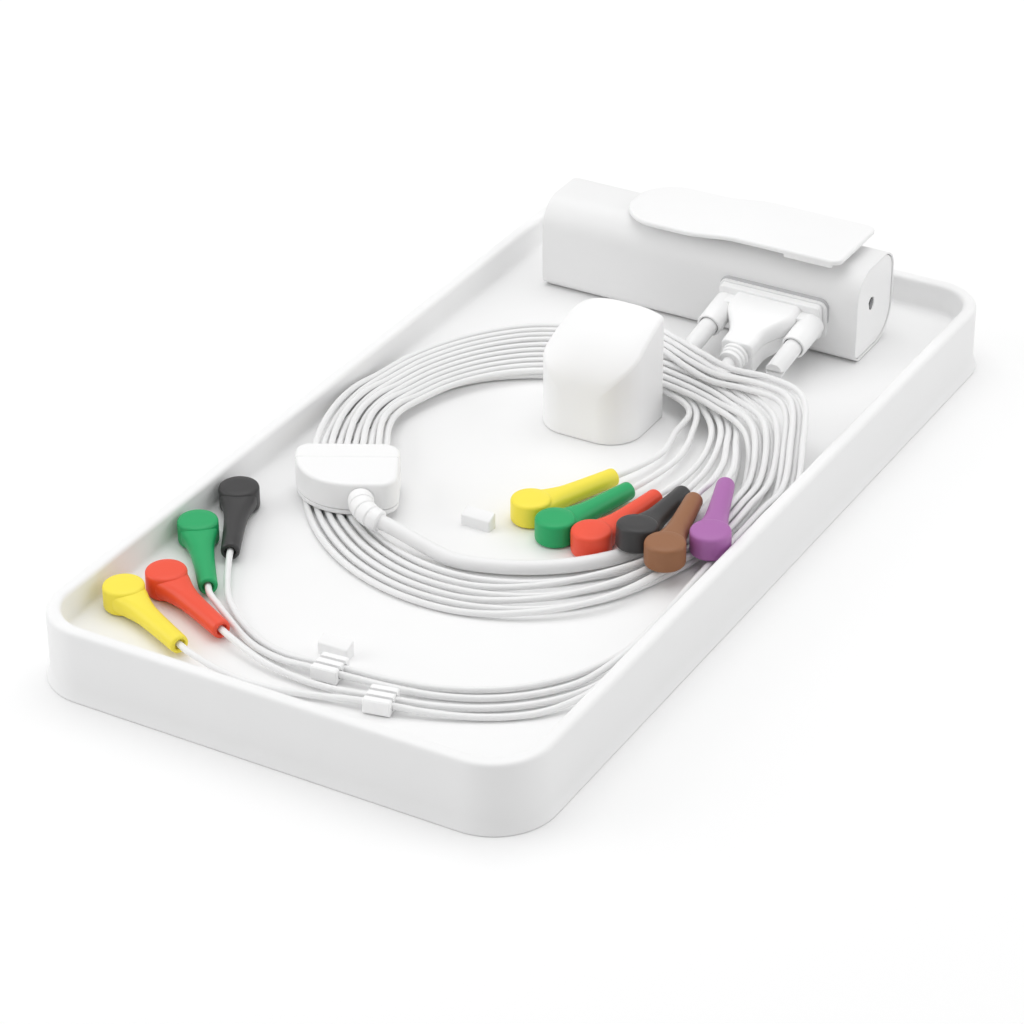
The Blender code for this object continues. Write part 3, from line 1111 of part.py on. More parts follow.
def smooth_points(route, spacing):
    """Points about a spacing apart on a centripetal Catmull-Rom curve through the route."""
    ends = [2 * route[0] - route[1], *route, 2 * route[-1] - route[-2]]
    points = []
    for before, start, end, after in zip(ends, ends[1:], ends[2:], ends[3:]):
        knots = [0]
        for here, there in ((before, start), (start, end), (end, after)):
            knots.append(knots[-1] + math.sqrt((there - here).length))
        count = max(1, round((end - start).length / spacing))
        for step in range(count):
            knot = knots[1] + (knots[2] - knots[1]) * step / count
            level = [before, start, end, after]
            for depth in (1, 2):
                level = [blend(level[index], level[index + 1], knots[index], knots[index + depth], knot)
                         for index in range(len(level) - 1)]
            points.append(blend(level[0], level[1], knots[1], knots[2], knot))
    points.append(route[-1])
    return points


def blend(here, there, first, last, knot):
    return here * ((last - knot) / (last - first)) + there * ((knot - first) / (last - first))


def snap_frame(place_values):
    """The snap's frame: its origin under the head, x towards the tail."""
    x, y, heading, head_base, tail_base = place_values
    pitch = math.asin((tail_base - head_base) * MM / SNAP_LENGTH)
    turn = Matrix.Rotation(math.radians(heading), 4, "Z") @ Matrix.Rotation(-pitch, 4, "Y")
    return Matrix.Translation(Vector((x, y, head_base)) * MM) @ turn


def lead_points(index, leads, frame, free_run):
    stations = CHEST_STATION_SHARES if index < CHEST_LEADS else LIMB_STATION_SHARES
    station_index = index if index < CHEST_LEADS else index - CHEST_LEADS
    coil = coil_points(stations, station_index)
    end = frame @ Vector((SNAP_LENGTH + GAP, 0, SNAP_AXIS_HEIGHT))
    straight = frame @ Vector((SNAP_LENGTH + GAP + LEAD_DIAMETER, 0, SNAP_AXIS_HEIGHT))
    tail = smooth_points([*coil[-2:], *in_metres(free_run), straight, end], TAIL_SPACING)
    joined = min(range(len(tail)), key=lambda place_index: (tail[place_index] - coil[-1]).length)
    return [*fan_points(index, leads, coil), *coil[:-1], *tail[joined:]]


def trunk_points():
    boot = yoke_boot_points(2 * YOKE_BOOT_RIBS)
    heading = (boot[-1] - boot[-2]).normalized()
    start = boot[-1] + heading * GAP
    frame = PLUG_FRAME @ OUT_OF_FRONT
    end = frame @ Vector((0, 0, PLUG_BOOT_END + GAP))
    before_end = frame @ Vector((0, 0, PLUG_BOOT_END + GAP + TRUNK_DIAMETER))
    route = [start, start + heading * TRUNK_DIAMETER, *in_metres(TRUNK_ROUTE), before_end, end]
    return smooth_points(route, TRUNK_SPACING)


def report_gap(name, points, diameter):
    """Print the tube's length and its least gap to itself, on points a third of a diameter apart."""
    samples = []
    for start, end in zip(points, points[1:]):
        count = max(1, math.ceil((end - start).length / (diameter / 3)))
        samples += [start.lerp(end, step / count) for step in range(count)]
    line = np.array([tuple(point) for point in samples])
    steps = np.linalg.norm(np.diff(line, axis=0), axis=1)
    along = np.concatenate(([0.0], np.cumsum(steps)))
    distance = np.linalg.norm(line[:, None] - line[None], axis=2)
    distance[np.abs(along[:, None] - along[None]) < 4 * diameter] = np.inf
    least = distance.min() - diameter
    print(f"{name}: {along[-1] / MM:.0f} mm long, least gap to itself {least / MM:.2f} mm")


def build_cables(snap_mesh):
    for index, (name, (place_values, free_run)) in enumerate(LEAD_ROUTES.items()):
        frame = snap_frame(place_values)
        colour = name.split("_")[1]
        place(f"snap_{name}", snap_mesh, SNAP_COLOURS[colour], frame)
        points = lead_points(index, len(LEAD_ROUTES), frame, free_run)
        report_gap(f"lead_{name}", points, LEAD_DIAMETER)
        tube(f"lead_{name}", points, LEAD_DIAMETER, WHITE, 1)
    points = trunk_points()
    report_gap("trunk_cable", points, TRUNK_DIAMETER)
    tube("trunk_cable", points, TRUNK_DIAMETER, WHITE, 2)


def snap_ring(along, half_width, half_height):
    angles = [2 * math.pi * step / SNAP_BODY_SIDES for step in range(SNAP_BODY_SIDES)]
    return [(along, half_width * math.cos(angle), SNAP_AXIS_HEIGHT + half_height * math.sin(angle))
            for angle in angles]


def build_snap_mesh():
    """A round head with a stud hole below, on a body that narrows to a round tail with a dished end."""
    rounded = SNAP_HEAD_ROUND * 0.7
    profile = [
        (0, SNAP_HEAD_HEIGHT), (SNAP_HEAD_RADIUS - 2 * rounded, SNAP_HEAD_HEIGHT),
        (SNAP_HEAD_RADIUS, SNAP_HEAD_HEIGHT - rounded), (SNAP_HEAD_RADIUS, rounded),
        (SNAP_HEAD_RADIUS - rounded, 0), (0, 0),
    ]
    head = turned("snap_head", profile, WHITE, None, SNAP_HEAD_SIDES)
    rings = [snap_ring(*values) for values in SNAP_BODY]
    join(head, loft_mesh("snap_body", rings))
    cut(head, cylinder_mesh("stud_hole", SNAP_HOLE_RADIUS, -OVERRUN, SNAP_HOLE_DEPTH))
    dish = cylinder_mesh("snap_dish", SNAP_DISH_RADIUS, SNAP_LENGTH - SNAP_DISH_DEPTH, SNAP_LENGTH + OVERRUN)
    dish_place = Matrix.Translation((0, 0, SNAP_AXIS_HEIGHT)) @ ALONG_X
    cut(head, dish, dish_place)
    mesh = evaluated_mesh(head)
    bpy.data.objects.remove(head, do_unlink=True)
    return mesh


clear_scene()
PARTS = new_collection("wireless_ecg_module_kit")
CUTTERS = new_collection("cutters")
build_tray()
build_post()
for clip_name, (clip_x, clip_y, clip_turn) in LEAD_CLIPS.items():
    build_lead_clip(clip_name, clip_x, clip_y, clip_turn)
build_shell()
build_battery_cap()
build_power_key()
build_electronics()
build_socket()
build_plug_shell()
build_hood()
build_thumbscrews()
build_plug_boot()
build_belt_clip()
build_yoke()
build_cables(build_snap_mesh())
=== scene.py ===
"""Wireless ECG module kit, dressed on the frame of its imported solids.

A white tray holds the module, which carries a belt clip and a mated plug. The plug's trunk cable
runs to a yoke, where ten leads start that are wound round a post and end in coloured snaps.
"""
import math

import bmesh
import bpy
import numpy as np
from mathutils import Matrix, Vector


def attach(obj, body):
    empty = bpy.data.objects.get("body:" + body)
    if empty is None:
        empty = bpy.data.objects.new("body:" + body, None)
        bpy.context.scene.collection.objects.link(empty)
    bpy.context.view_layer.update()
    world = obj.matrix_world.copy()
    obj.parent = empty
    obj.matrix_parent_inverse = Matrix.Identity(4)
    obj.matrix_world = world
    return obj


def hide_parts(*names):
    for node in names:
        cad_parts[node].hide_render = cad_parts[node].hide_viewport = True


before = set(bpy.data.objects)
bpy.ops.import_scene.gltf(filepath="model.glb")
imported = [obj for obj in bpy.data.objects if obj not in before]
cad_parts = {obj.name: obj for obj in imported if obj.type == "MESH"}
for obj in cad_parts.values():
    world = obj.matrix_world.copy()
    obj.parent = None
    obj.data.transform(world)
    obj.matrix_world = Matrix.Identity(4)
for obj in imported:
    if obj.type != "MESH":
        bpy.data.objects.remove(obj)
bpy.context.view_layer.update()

# Camera
# It looks down the tray from beyond the near right corner, as the photographer did. The place, the
# three angles and the focal length come from the tray's edges in the photograph.
CAMERA_PLACE = (0.4926, -0.8840, 0.6037)
CAMERA_TURN = math.radians(-29.77)
CAMERA_DROP = math.radians(30.94)
CAMERA_ROLL = math.radians(-0.31)
FOCAL_PIXELS = 3462.0
PHOTO_PIXELS = 1024
SENSOR = 36.0

forward = np.array([math.sin(CAMERA_TURN) * math.cos(CAMERA_DROP),
                    math.cos(CAMERA_TURN) * math.cos(CAMERA_DROP), -math.sin(CAMERA_DROP)])
level = np.array([math.cos(CAMERA_TURN), -math.sin(CAMERA_TURN), 0.0])
upward = np.cross(level, forward)
camera_right = level * math.cos(CAMERA_ROLL) + upward * math.sin(CAMERA_ROLL)
camera_up = upward * math.cos(CAMERA_ROLL) - level * math.sin(CAMERA_ROLL)
camera_frame = np.eye(4)
camera_frame[:3, :3] = np.stack([camera_right, camera_up, -forward], axis=1)
camera_frame[:3, 3] = CAMERA_PLACE
camera_data = bpy.data.cameras.new("camera")
camera_data.sensor_width = SENSOR
camera_data.lens = FOCAL_PIXELS / PHOTO_PIXELS * SENSOR
camera = bpy.data.objects.new("camera", camera_data)
camera.matrix_world = Matrix(camera_frame.tolist())
bpy.context.scene.collection.objects.link(camera)
bpy.context.scene.camera = camera
bpy.context.scene.view_settings.view_transform = "Standard"

# Floor and lights
# A pale seamless table under three soft boxes: a large one overhead, one to the left and one beyond
# the right side. The side towards the camera stays the dimmest, as the tray's corner shows.
MM = 0.001
FLOOR_HALF = 3.0
FLOOR_DROP = 0.2 * MM
FLOOR_COLOUR = (0.81, 0.81, 0.81, 1.0)
FLOOR_GLOW = 0.14
WORLD_STRENGTH = 0.57
SOFT_BOXES = {
    "overhead": ((-0.15, 0.25, 1.5), 1.5, 10.8),
    "left": ((-1.2, -0.75, 0.75), 1.1, 6.8),
    "right": ((1.25, 0.75, 0.75), 1.1, 5.0),
}


class Wire:
    """A socket of a node tree. Sums and products on it add the Math nodes that work them out."""

    def __init__(self, tree, socket=None):
        self.tree = tree
        self.socket = socket

    def node(self, kind, inputs=(), output=0, **settings):
        """Add a node, give it its settings and its sockets' values or wires, and return an output."""
        made = self.tree.nodes.new(kind)
        for setting, value in settings.items():
            setattr(made, setting, value)
        for name, value in dict(inputs).items():
            if isinstance(value, Wire):
                self.tree.links.new(value.socket, made.inputs[name])
            else:
                made.inputs[name].default_value = value
        return Wire(self.tree, made.outputs[output] if len(made.outputs) else None)

    def maths(self, operation, *values):
        return self.node("ShaderNodeMath", enumerate(values), operation=operation)

    def __add__(self, other):
        return self.maths("ADD", self, other)

    def __radd__(self, other):
        return self.maths("ADD", other, self)

    def __sub__(self, other):
        return self.maths("SUBTRACT", self, other)

    def __rsub__(self, other):
        return self.maths("SUBTRACT", other, self)

    def __mul__(self, other):
        return self.maths("MULTIPLY", self, other)

    def __rmul__(self, other):
        return self.maths("MULTIPLY", other, self)


def blank_tree(holder):
    """Empty the node tree of a material or a world, and return the wire that its nodes start from."""
    holder.use_nodes = True
    holder.node_tree.nodes.clear()
    return Wire(holder.node_tree)


def blank_finish(name):
    """A new material without nodes, and the wire that they start from."""
    material = bpy.data.materials.new(name)
    return material, blank_tree(material)


def table_finish():
    """A matt white table. A little glow that only the camera and mirrors see keeps it pale."""
    material, start = blank_finish("table")
    matt = start.node("ShaderNodeBsdfDiffuse", {"Color": FLOOR_COLOUR})
    seen = start.node("ShaderNodeLightPath") + start.node("ShaderNodeLightPath", output="Is Glossy Ray")
    glow = start.node("ShaderNodeEmission", {"Strength": seen * FLOOR_GLOW})
    both = start.node("ShaderNodeAddShader", {0: matt, 1: glow})
    start.node("ShaderNodeOutputMaterial", {"Surface": both})
    return material


def light_world():
    """White where the camera and glass look past the table, and a dimmer light elsewhere."""
    world = bpy.data.worlds.new("studio")
    bpy.context.scene.world = world
    start = blank_tree(world)
    seen = start.maths("MAXIMUM", start.node("ShaderNodeLightPath"),
                       start.node("ShaderNodeLightPath", output="Is Transmission Ray"))
    strength = seen * (1 - WORLD_STRENGTH) + WORLD_STRENGTH
    back = start.node("ShaderNodeBackground", {"Color": (1, 1, 1, 1), "Strength": strength})
    start.node("ShaderNodeOutputWorld", {"Surface": back})


def add_soft_box(name, place, size, power):
    """A square lamp that faces the origin."""
    data = bpy.data.lights.new(name, "AREA")
    data.shape = "SQUARE"
    data.size = size
    data.energy = power
    lamp = bpy.data.objects.new(name, data)
    lamp.location = place
    lamp.rotation_euler = (-Vector(place)).to_track_quat("-Z", "Y").to_euler()
    bpy.context.scene.collection.objects.link(lamp)


light_world()
for box_name, (box_place, box_size, box_power) in SOFT_BOXES.items():
    add_soft_box(box_name, box_place, box_size, box_power)
floor_mesh = bpy.data.meshes.new("floor")
floor_mesh.from_pydata(
    [(x * FLOOR_HALF, y * FLOOR_HALF, -FLOOR_DROP) for x, y in ((-1, -1), (1, -1), (1, 1), (-1, 1))],
    [], [(0, 1, 2, 3)])
floor_mesh.materials.append(table_finish())
floor = bpy.data.objects.new("floor", floor_mesh)
bpy.context.scene.collection.objects.link(floor)

# Tray
# A white ABS moulding: a floor inside a rounded wall that stands on a slightly flared foot, hollow
# beneath, with two small tabs moulded on the floor. Its skin carries a fine spark-eroded texture.
TRAY_HALF_WIDTH = 89.0 * MM
TRAY_HALF_LENGTH = 175.0 * MM
TRAY_CORNER = 19.8 * MM
TRAY_HEIGHT = 24.8 * MM
TRAY_WALL = 5.0 * MM
TRAY_SKIRT = 3.2 * MM
TRAY_CEILING = 11.0 * MM
TRAY_FLOOR_TOP = 14.0 * MM
TRAY_FLARE = 1.3 * MM
TRAY_FLARE_HEIGHT = 5.0 * MM
TRAY_MIDDLE_INSET = 30.0 * MM
TRAY_RIM_ROUND = 1.9 * MM
TAB_X = -1.3 * MM
TAB_ROWS = {"tray_tab_rear": -43.0 * MM, "tray_tab_front": -131.0 * MM}
TAB_HALF = (5.5 * MM, 2.3 * MM)
TAB_LOW = 3.9 * MM
TAB_HIGH = 5.5 * MM
TAB_EDGE = 0.5 * MM
TAB_CORNER = 0.7 * MM
TAB_ROOT = 1.0 * MM


def soften(profile, reach, steps=5):
    """Round a profile's inner points. Each becomes a quadratic curve from a point up to reach before
    it to one as far after it: a (1 - t)^2 + 2 b t (1 - t) + c t^2, with the old point as b."""
    profile = np.asarray(profile, float)
    corner = profile[1:-1]
    before = profile[:-2] - corner
    after = profile[2:] - corner
    room = np.full(len(corner), 1.0) * reach
    for arm in (before, after):
        length = np.linalg.norm(arm, axis=1)
        room = np.minimum(room, length * 0.48)
        arm /= np.maximum(length, 1e-9)[:, None]
    share = np.linspace(0, 1, steps)[None, :, None]
    start = (corner + before * room[:, None])[:, None]
    end = (corner + after * room[:, None])[:, None]
    curves = start * (1 - share) ** 2 + corner[:, None] * (2 * share * (1 - share)) + end * share ** 2
    return np.vstack([profile[:1], curves.reshape(-1, profile.shape[1]), profile[-1:]])


def rounded_rings(box, radii, insets, steps=12):
    """Rings round a rectangle whose corners share a radius or have one each, from the front left one
    round by the right. A corner's point is its centre plus (radius - inset) times (cos, sin)."""
    insets = np.atleast_1d(np.asarray(insets, float))[:, None]
    radii = np.broadcast_to(radii, 4)[None]
    left, right, front, back = (np.broadcast_to(side, len(insets)) for side in box)
    radius = np.maximum(radii - insets, 0)
    reach = np.maximum(radii, insets)
    centres = np.stack([
        np.stack([left + reach[:, 0], right - reach[:, 1], right - reach[:, 2], left + reach[:, 3]], 1),
        np.stack([front + reach[:, 0], front + reach[:, 1], back - reach[:, 2], back - reach[:, 3]], 1),
    ], axis=-1)
    turns = np.pi + np.arange(4)[:, None] * np.pi / 2 + np.linspace(0, np.pi / 2, steps + 1)[None]
    spokes = np.stack([np.cos(turns), np.sin(turns)], axis=-1)
    points = centres[:, :, None] + radius[:, :, None, None] * spokes[None]
    return points.reshape(len(insets), -1, 2)


def spanned(half_x, half_y, x=0.0, y=0.0):
    """The box that reaches half_x and half_y to either side of (x, y)."""
    return x - half_x, x + half_x, y - half_y, y + half_y


def raised(rings, heights):
    """Give flat rings their heights: one for each ring, or one for each point."""
    heights = np.asarray(heights, float)
    heights = np.broadcast_to(heights if heights.ndim == 2 else heights[:, None], rings.shape[:2])
    return np.concatenate([rings, heights[..., None]], axis=-1)


def carried(profile, box, radii, steps, start=0.0):
    """Rings round a rectangle, one for each (inset, height above start) of a profile."""
    return raised(rounded_rings(box, radii, profile[:, 0], steps), profile[:, 1] + start)


def skin(name, surfaces, sharp=42, loop=False, along=None):
    """A piece made of closed surfaces over rows of points. Each four neighbours, two in a row and two
    in the next, make a face. A cap closes each end, unless the rows themselves form a loop. along
    gives each row its distance, which with the turn round the row becomes the UV map."""
    points = []
    faces = []
    total = 0
    for rows in surfaces:
        count, width = rows.shape[:2]
        here = np.arange(count * width).reshape(count, width) + total
        beside = np.roll(here, -1, axis=1)
        quads = np.stack([here, beside, np.roll(beside, -1, axis=0), np.roll(here, -1, axis=0)], axis=-1)
        faces += quads[:count if loop else count - 1].reshape(-1, 4).tolist()
        if not loop:
            faces += [here[0, ::-1].tolist(), here[-1].tolist()]
        points.append(rows.reshape(-1, 3))
        total += count * width
    mesh = bpy.data.meshes.new(name)
    mesh.from_pydata(np.vstack(points).tolist(), [], faces)
    if along is not None:
        corner = np.empty(len(mesh.loops), int)
        mesh.loops.foreach_get("vertex_index", corner)
        width = surfaces[0].shape[1]
        layer = mesh.uv_layers.new(name="run")
        turn = (corner % width) / width
        layer.data.foreach_set("uv", np.stack([along[corner // width], turn], axis=1).ravel())
    close_skin(mesh)
    mesh.shade_smooth()
    mesh.set_sharp_from_angle(angle=math.radians(sharp))
    piece = bpy.data.objects.new(name, mesh)
    bpy.context.scene.collection.objects.link(piece)
    return piece


def close_skin(mesh):
    """Merge the points that meet at poles and turn every face outwards."""
    work = bmesh.new()
    work.from_mesh(mesh)
    bmesh.ops.remove_doubles(work, verts=work.verts, dist=0.001 * MM)
    bmesh.ops.recalc_face_normals(work, faces=work.faces)
    work.to_mesh(mesh)
    work.free()


def placed(points, matrix):
    matrix = np.array(matrix)
    return points @ matrix[:3, :3].T + matrix[:3, 3]


def make(name, surfaces, slot_name, material, nodes=(), body="kit", at=None, **shape):
    """Make a piece of surfaces, which stand in the frame at if it is given, finish it, tie it to its
    body, and let it stand for CAD nodes."""
    piece = skin(name, surfaces if at is None else [placed(rows, at) for rows in surfaces], **shape)
    piece.data.materials.append(material)
    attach(piece, body)
    if nodes:
        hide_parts(*nodes)
    return piece


def noise(place, size, detail=2.0, rough=0.5):
    """Noise whose largest lumps are about a size across."""
    return place.node("ShaderNodeTexNoise", {
        "Vector": place, "Scale": 1 / size, "Detail": detail, "Roughness": rough})


def blend(share, low, high):
    """A colour between two, which are (red, green, blue)."""
    return share.node("ShaderNodeMix", {0: share, 6: (*low, 1.0), 7: (*high, 1.0)}, output=2,
                      data_type="RGBA")


def bump(height, distance=1.0):
    """A normal for a height, in metres where the distance is 1."""
    return height.node("ShaderNodeBump", {"Height": height, "Distance": distance, "Strength": 1.0})


def close_finish(material, start, sockets):
    """End a material with a Principled shader."""
    shader = start.node("ShaderNodeBsdfPrincipled", sockets)
    start.node("ShaderNodeOutputMaterial", {"Surface": shader})
    return material


def moulded(name, colour, roughness, grain_size=0.45 * MM, grain_depth=0.012 * MM, mottle=0.02, coat=0.0):
    """Moulded plastic: a fine eroded grain in the bump, slow drifts in its tone and its gloss. The
    colour is one grey or three channels."""
    material, start = blank_finish(name)
    place = start.node("ShaderNodeTexCoord", output="Object")
    drift = noise(place, 40 * MM, 3.0)
    grain = noise(place, grain_size, 2.0, 0.6)
    waves = noise(place, 9 * MM)
    colour = np.broadcast_to(colour, 3)
    low = colour * (1 - mottle)
    high = np.minimum(1.0, colour * (1 + mottle))
    return close_finish(material, start, {
        "Base Color": blend(drift, low, high),
        "Roughness": roughness + (drift - 0.5) * 0.10 + (grain - 0.5) * 0.08,
        "Normal": bump(grain * grain_depth + waves * (grain_depth * 2)),
        "IOR": 1.5, "Coat Weight": coat, "Specular IOR Level": 0.4})


tray_white = moulded("tray_white", 0.90, 0.5, grain_size=0.5 * MM, grain_depth=0.008 * MM)
flare_heights = np.linspace(0, 1, 8)
tray_profile = np.vstack([
    soften([(TRAY_MIDDLE_INSET, TRAY_CEILING), (TRAY_SKIRT, TRAY_CEILING),
            (TRAY_SKIRT - TRAY_FLARE, 0), (-TRAY_FLARE * 0.9, 0)], 0.8 * MM),
    np.stack([-TRAY_FLARE * (1 - flare_heights) ** 2, TRAY_FLARE_HEIGHT * flare_heights + 0.2 * MM], axis=1),
    soften([(0, TRAY_FLARE_HEIGHT + 1 * MM), (0, TRAY_HEIGHT), (TRAY_WALL, TRAY_HEIGHT),
            (TRAY_WALL, TRAY_FLOOR_TOP), (TRAY_MIDDLE_INSET, TRAY_FLOOR_TOP)], TRAY_RIM_ROUND, 8),
])
tray_rings = carried(tray_profile, spanned(TRAY_HALF_WIDTH, TRAY_HALF_LENGTH), TRAY_CORNER, 24)
make("tray_body", [tray_rings], "tray_plastic", tray_white, ["tray"], sharp=50)
edge_turn = np.linspace(0, np.pi / 2, 5)
tab_insets = np.concatenate([[0, 0], TAB_EDGE * (1 - np.cos(edge_turn))])
tab_drops = np.concatenate([[0, TAB_EDGE], TAB_EDGE * (1 - np.sin(edge_turn))])
for tab_name, tab_y in TAB_ROWS.items():
    tab_flat = rounded_rings(spanned(*TAB_HALF, TAB_X, tab_y), TAB_CORNER, tab_insets, 5)
    tab_slope = (tab_flat[..., 1] - tab_y + TAB_HALF[1]) / (2 * TAB_HALF[1])
    tab_top = TRAY_FLOOR_TOP + TAB_LOW + (TAB_HIGH - TAB_LOW) * tab_slope - tab_drops[:, None]
    tab_top[0] = TRAY_FLOOR_TOP - TAB_ROOT
    make(tab_name, [raised(tab_flat, tab_top)], "tray_plastic", tray_white)

# Cable post
# A white moulded block screwed to the tray's floor from below, which the leads are wound round. Its
# roof is a dome that falls to the front and to the left, and meets the flat right side in a crease.
GAP = 0.3 * MM
POST_BOX = (-18.8 * MM, 18.0 * MM, 23.3 * MM, 52.0 * MM)
POST_RADII = (12.0 * MM, 12.0 * MM, 1.4 * MM, 1.4 * MM)
POST_BOTTOM = TRAY_FLOOR_TOP + GAP
POST_TOP = 55.1 * MM
POST_SHOULDER = 31.0 * MM
POST_PEAK_X = 4.0 * MM
POST_RIGHT_FALL = 2.2 * MM
POST_LEFT_SHARE = 0.64
POST_LEFT_POWER = 3.0
POST_FRONT_POWER = 1.25
POST_DOME_POWER = 0.48
POST_EDGE = 1.1 * MM
POST_RING_POWER = 2.2
POST_WALL_SHARES = (0.0, 0.4, 0.85)


def post_roof(rings):
    """The dome's height: shoulder + rise ((1 - front^a) (1 - share left^b))^c - fall right^3, where
    front, left and right run from 0 at the dome's peak to 1 at that side's edge."""
    left_edge, right_edge, front_edge, back_edge = POST_BOX
    front = np.clip((back_edge - rings[..., 1]) / (back_edge - front_edge), 0, 1)
    left = np.clip((POST_PEAK_X - rings[..., 0]) / (POST_PEAK_X - left_edge), 0, 1)
    right = np.clip((rings[..., 0] - POST_PEAK_X) / (right_edge - POST_PEAK_X), 0, 1)
    fullness = (1 - front ** POST_FRONT_POWER) * (1 - POST_LEFT_SHARE * left ** POST_LEFT_POWER)
    dome = (POST_TOP - POST_SHOULDER) * fullness ** POST_DOME_POWER
    return POST_SHOULDER + dome - POST_RIGHT_FALL * right ** 3


def filled(rings, steps, count):
    """Rings with evenly spaced points added along the straight sides between their four corners."""
    corners = rings.reshape(len(rings), 4, steps + 1, 2)
    reach = np.roll(corners[:, :, 0], -1, axis=1) - corners[:, :, -1]
    share = (np.arange(1, count + 1) / (count + 1))[None, None, :, None]
    sides = corners[:, :, -1:] + reach[:, :, None] * share
    return np.concatenate([corners, sides], axis=2).reshape(len(rings), -1, 2)


def round_corner(distance, corner):
    """How far an outline stands back near a rounded corner: r - square root of (r^2 - (r - d)^2)."""
    near = np.clip(corner - distance, 0, corner)
    return corner - np.sqrt(corner ** 2 - near ** 2)


post_reach = (POST_BOX[3] - POST_BOX[2]) / 2
post_insets = np.concatenate([[0] * 3, post_reach * np.linspace(0, 1, 60) ** POST_RING_POWER])
post_flat = filled(rounded_rings(POST_BOX, POST_RADII, post_insets, 16), 16, 30)
post_heights = post_roof(post_flat) - round_corner(post_insets, POST_EDGE)[:, None]
for row, share in enumerate(POST_WALL_SHARES):
    post_heights[row] = POST_BOTTOM + (post_heights[3] - POST_BOTTOM) * share
post_white = moulded("post_white", 0.935, 0.42, grain_depth=0.006 * MM)
make("winding_post", [raised(post_flat, post_heights)], "white_plastic", post_white, ["cable_post"],
     sharp=60)

# Lead clips
# Two small white blocks on the tray's floor, each with a pair of bores that are slit at the top, so
# that the limb leads press in and lie side by side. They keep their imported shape.
clip_white = moulded("clip_white", 0.93, 0.4, grain_size=0.4 * MM)


def refinish(node, material):
    """Give a CAD node that keeps its shape a material."""
    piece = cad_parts[node]
    piece.data.materials.clear()
    piece.data.materials.append(material)


refinish("lead_clip_front", clip_white)
refinish("lead_clip_rear", clip_white)

# Module shell, battery cap and power key
# A pale grey ABS tube with four unlike corner radii along its length. A cap with a nail slot closes
# its left end over the cells, and its whole right end is a push key round a small dark window.
TURN = 2 * math.pi
MODULE_LEFT = -66.9 * MM
MODULE_RIGHT = 60.6 * MM
MODULE_BOX = (117.5 * MM, 148.3 * MM, 14.3 * MM, 48.3 * MM)
MODULE_RADII = (4.0 * MM, 13.0 * MM, 8.0 * MM, 11.0 * MM)
SHELL_WALL = 1.8 * MM
MOUTH_WALL = 0.7 * MM
CAP_FACE = -66.5 * MM
CAP_BACK = -62.5 * MM
CAP_END = -59.0 * MM
CAP_SLOT_CENTRE = (138.4 * MM, 31.2 * MM)
CAP_SLOT_HALF = (5.0 * MM, 0.7 * MM)
CAP_SLOT_DEPTH = 1.4 * MM
KEY_FACE = 60.2 * MM
KEY_BACK = 57.2 * MM
KEY_SEAT = 56.1 * MM
KEY_STEM = (126.6 * MM, 31.0 * MM)
KEY_STEM_RADIUS = 3.0 * MM
KEY_STEM_END = 51.8 * MM
WINDOW_CENTRE = (130.4 * MM, 33.1 * MM)
WINDOW_RADIUS = 2.35 * MM
WINDOW_DROP = 3.5 * MM
WINDOW_SHARP = math.radians(25)
WINDOW_DEPTH = 1.0 * MM


def across_x(rings, x):
    """Stand flat rings up across x, each at its own place along x."""
    x = np.broadcast_to(np.asarray(x)[:, None, None], rings.shape[:2] + (1,))
    return np.concatenate([x, rings], axis=-1)


def along_x(profile, steps=14):
    """Rings of the module's outline at each (place along x, inset) of a profile."""
    profile = np.asarray(profile, float)
    return across_x(rounded_rings(MODULE_BOX, MODULE_RADII, profile[:, 1], steps), profile[:, 0])


def turned(profile, sides=40):
    """Rings of a turned piece: (radius, height) becomes (radius cos, radius sin, height)."""
    profile = np.asarray(profile, float)
    turn = np.linspace(0, TURN, sides, endpoint=False)
    radius, height = profile[:, 0, None], profile[:, 1, None]
    return np.stack(np.broadcast_arrays(radius * np.cos(turn), radius * np.sin(turn), height), axis=-1)


def window_radii(turns, grow):
    """The window's radius at each angle: a circle, drawn out below to a point where its two
    straight sides meet. Each side's line gives distance / cos(angle from the line's normal)."""
    radius = WINDOW_RADIUS + grow
    side = np.array([WINDOW_RADIUS * math.cos(WINDOW_SHARP), -WINDOW_RADIUS * math.sin(WINDOW_SHARP)])
    tip = np.array([0, -WINDOW_DROP])
    run = side - tip
    normal = np.array([run[1], -run[0]]) / np.hypot(*run)
    reach = side @ normal + grow
    facing = np.abs(np.cos(turns)) * normal[0] + np.sin(turns) * normal[1]
    straight = np.where(facing > 0.05, reach / np.maximum(facing, 0.05), np.inf)
    below = np.sin(turns) < -math.sin(WINDOW_SHARP)
    return np.where(below, np.minimum(straight, WINDOW_DROP + grow), radius)


def window_ring(turns, radii, x):
    """A ring in the key's face: the window's centre plus radius times (cos, sin)."""
    y = WINDOW_CENTRE[0] + radii * np.cos(turns)
    z = WINDOW_CENTRE[1] + radii * np.sin(turns)
    return np.stack([np.broadcast_to(x, turns.shape), y, z], axis=-1)


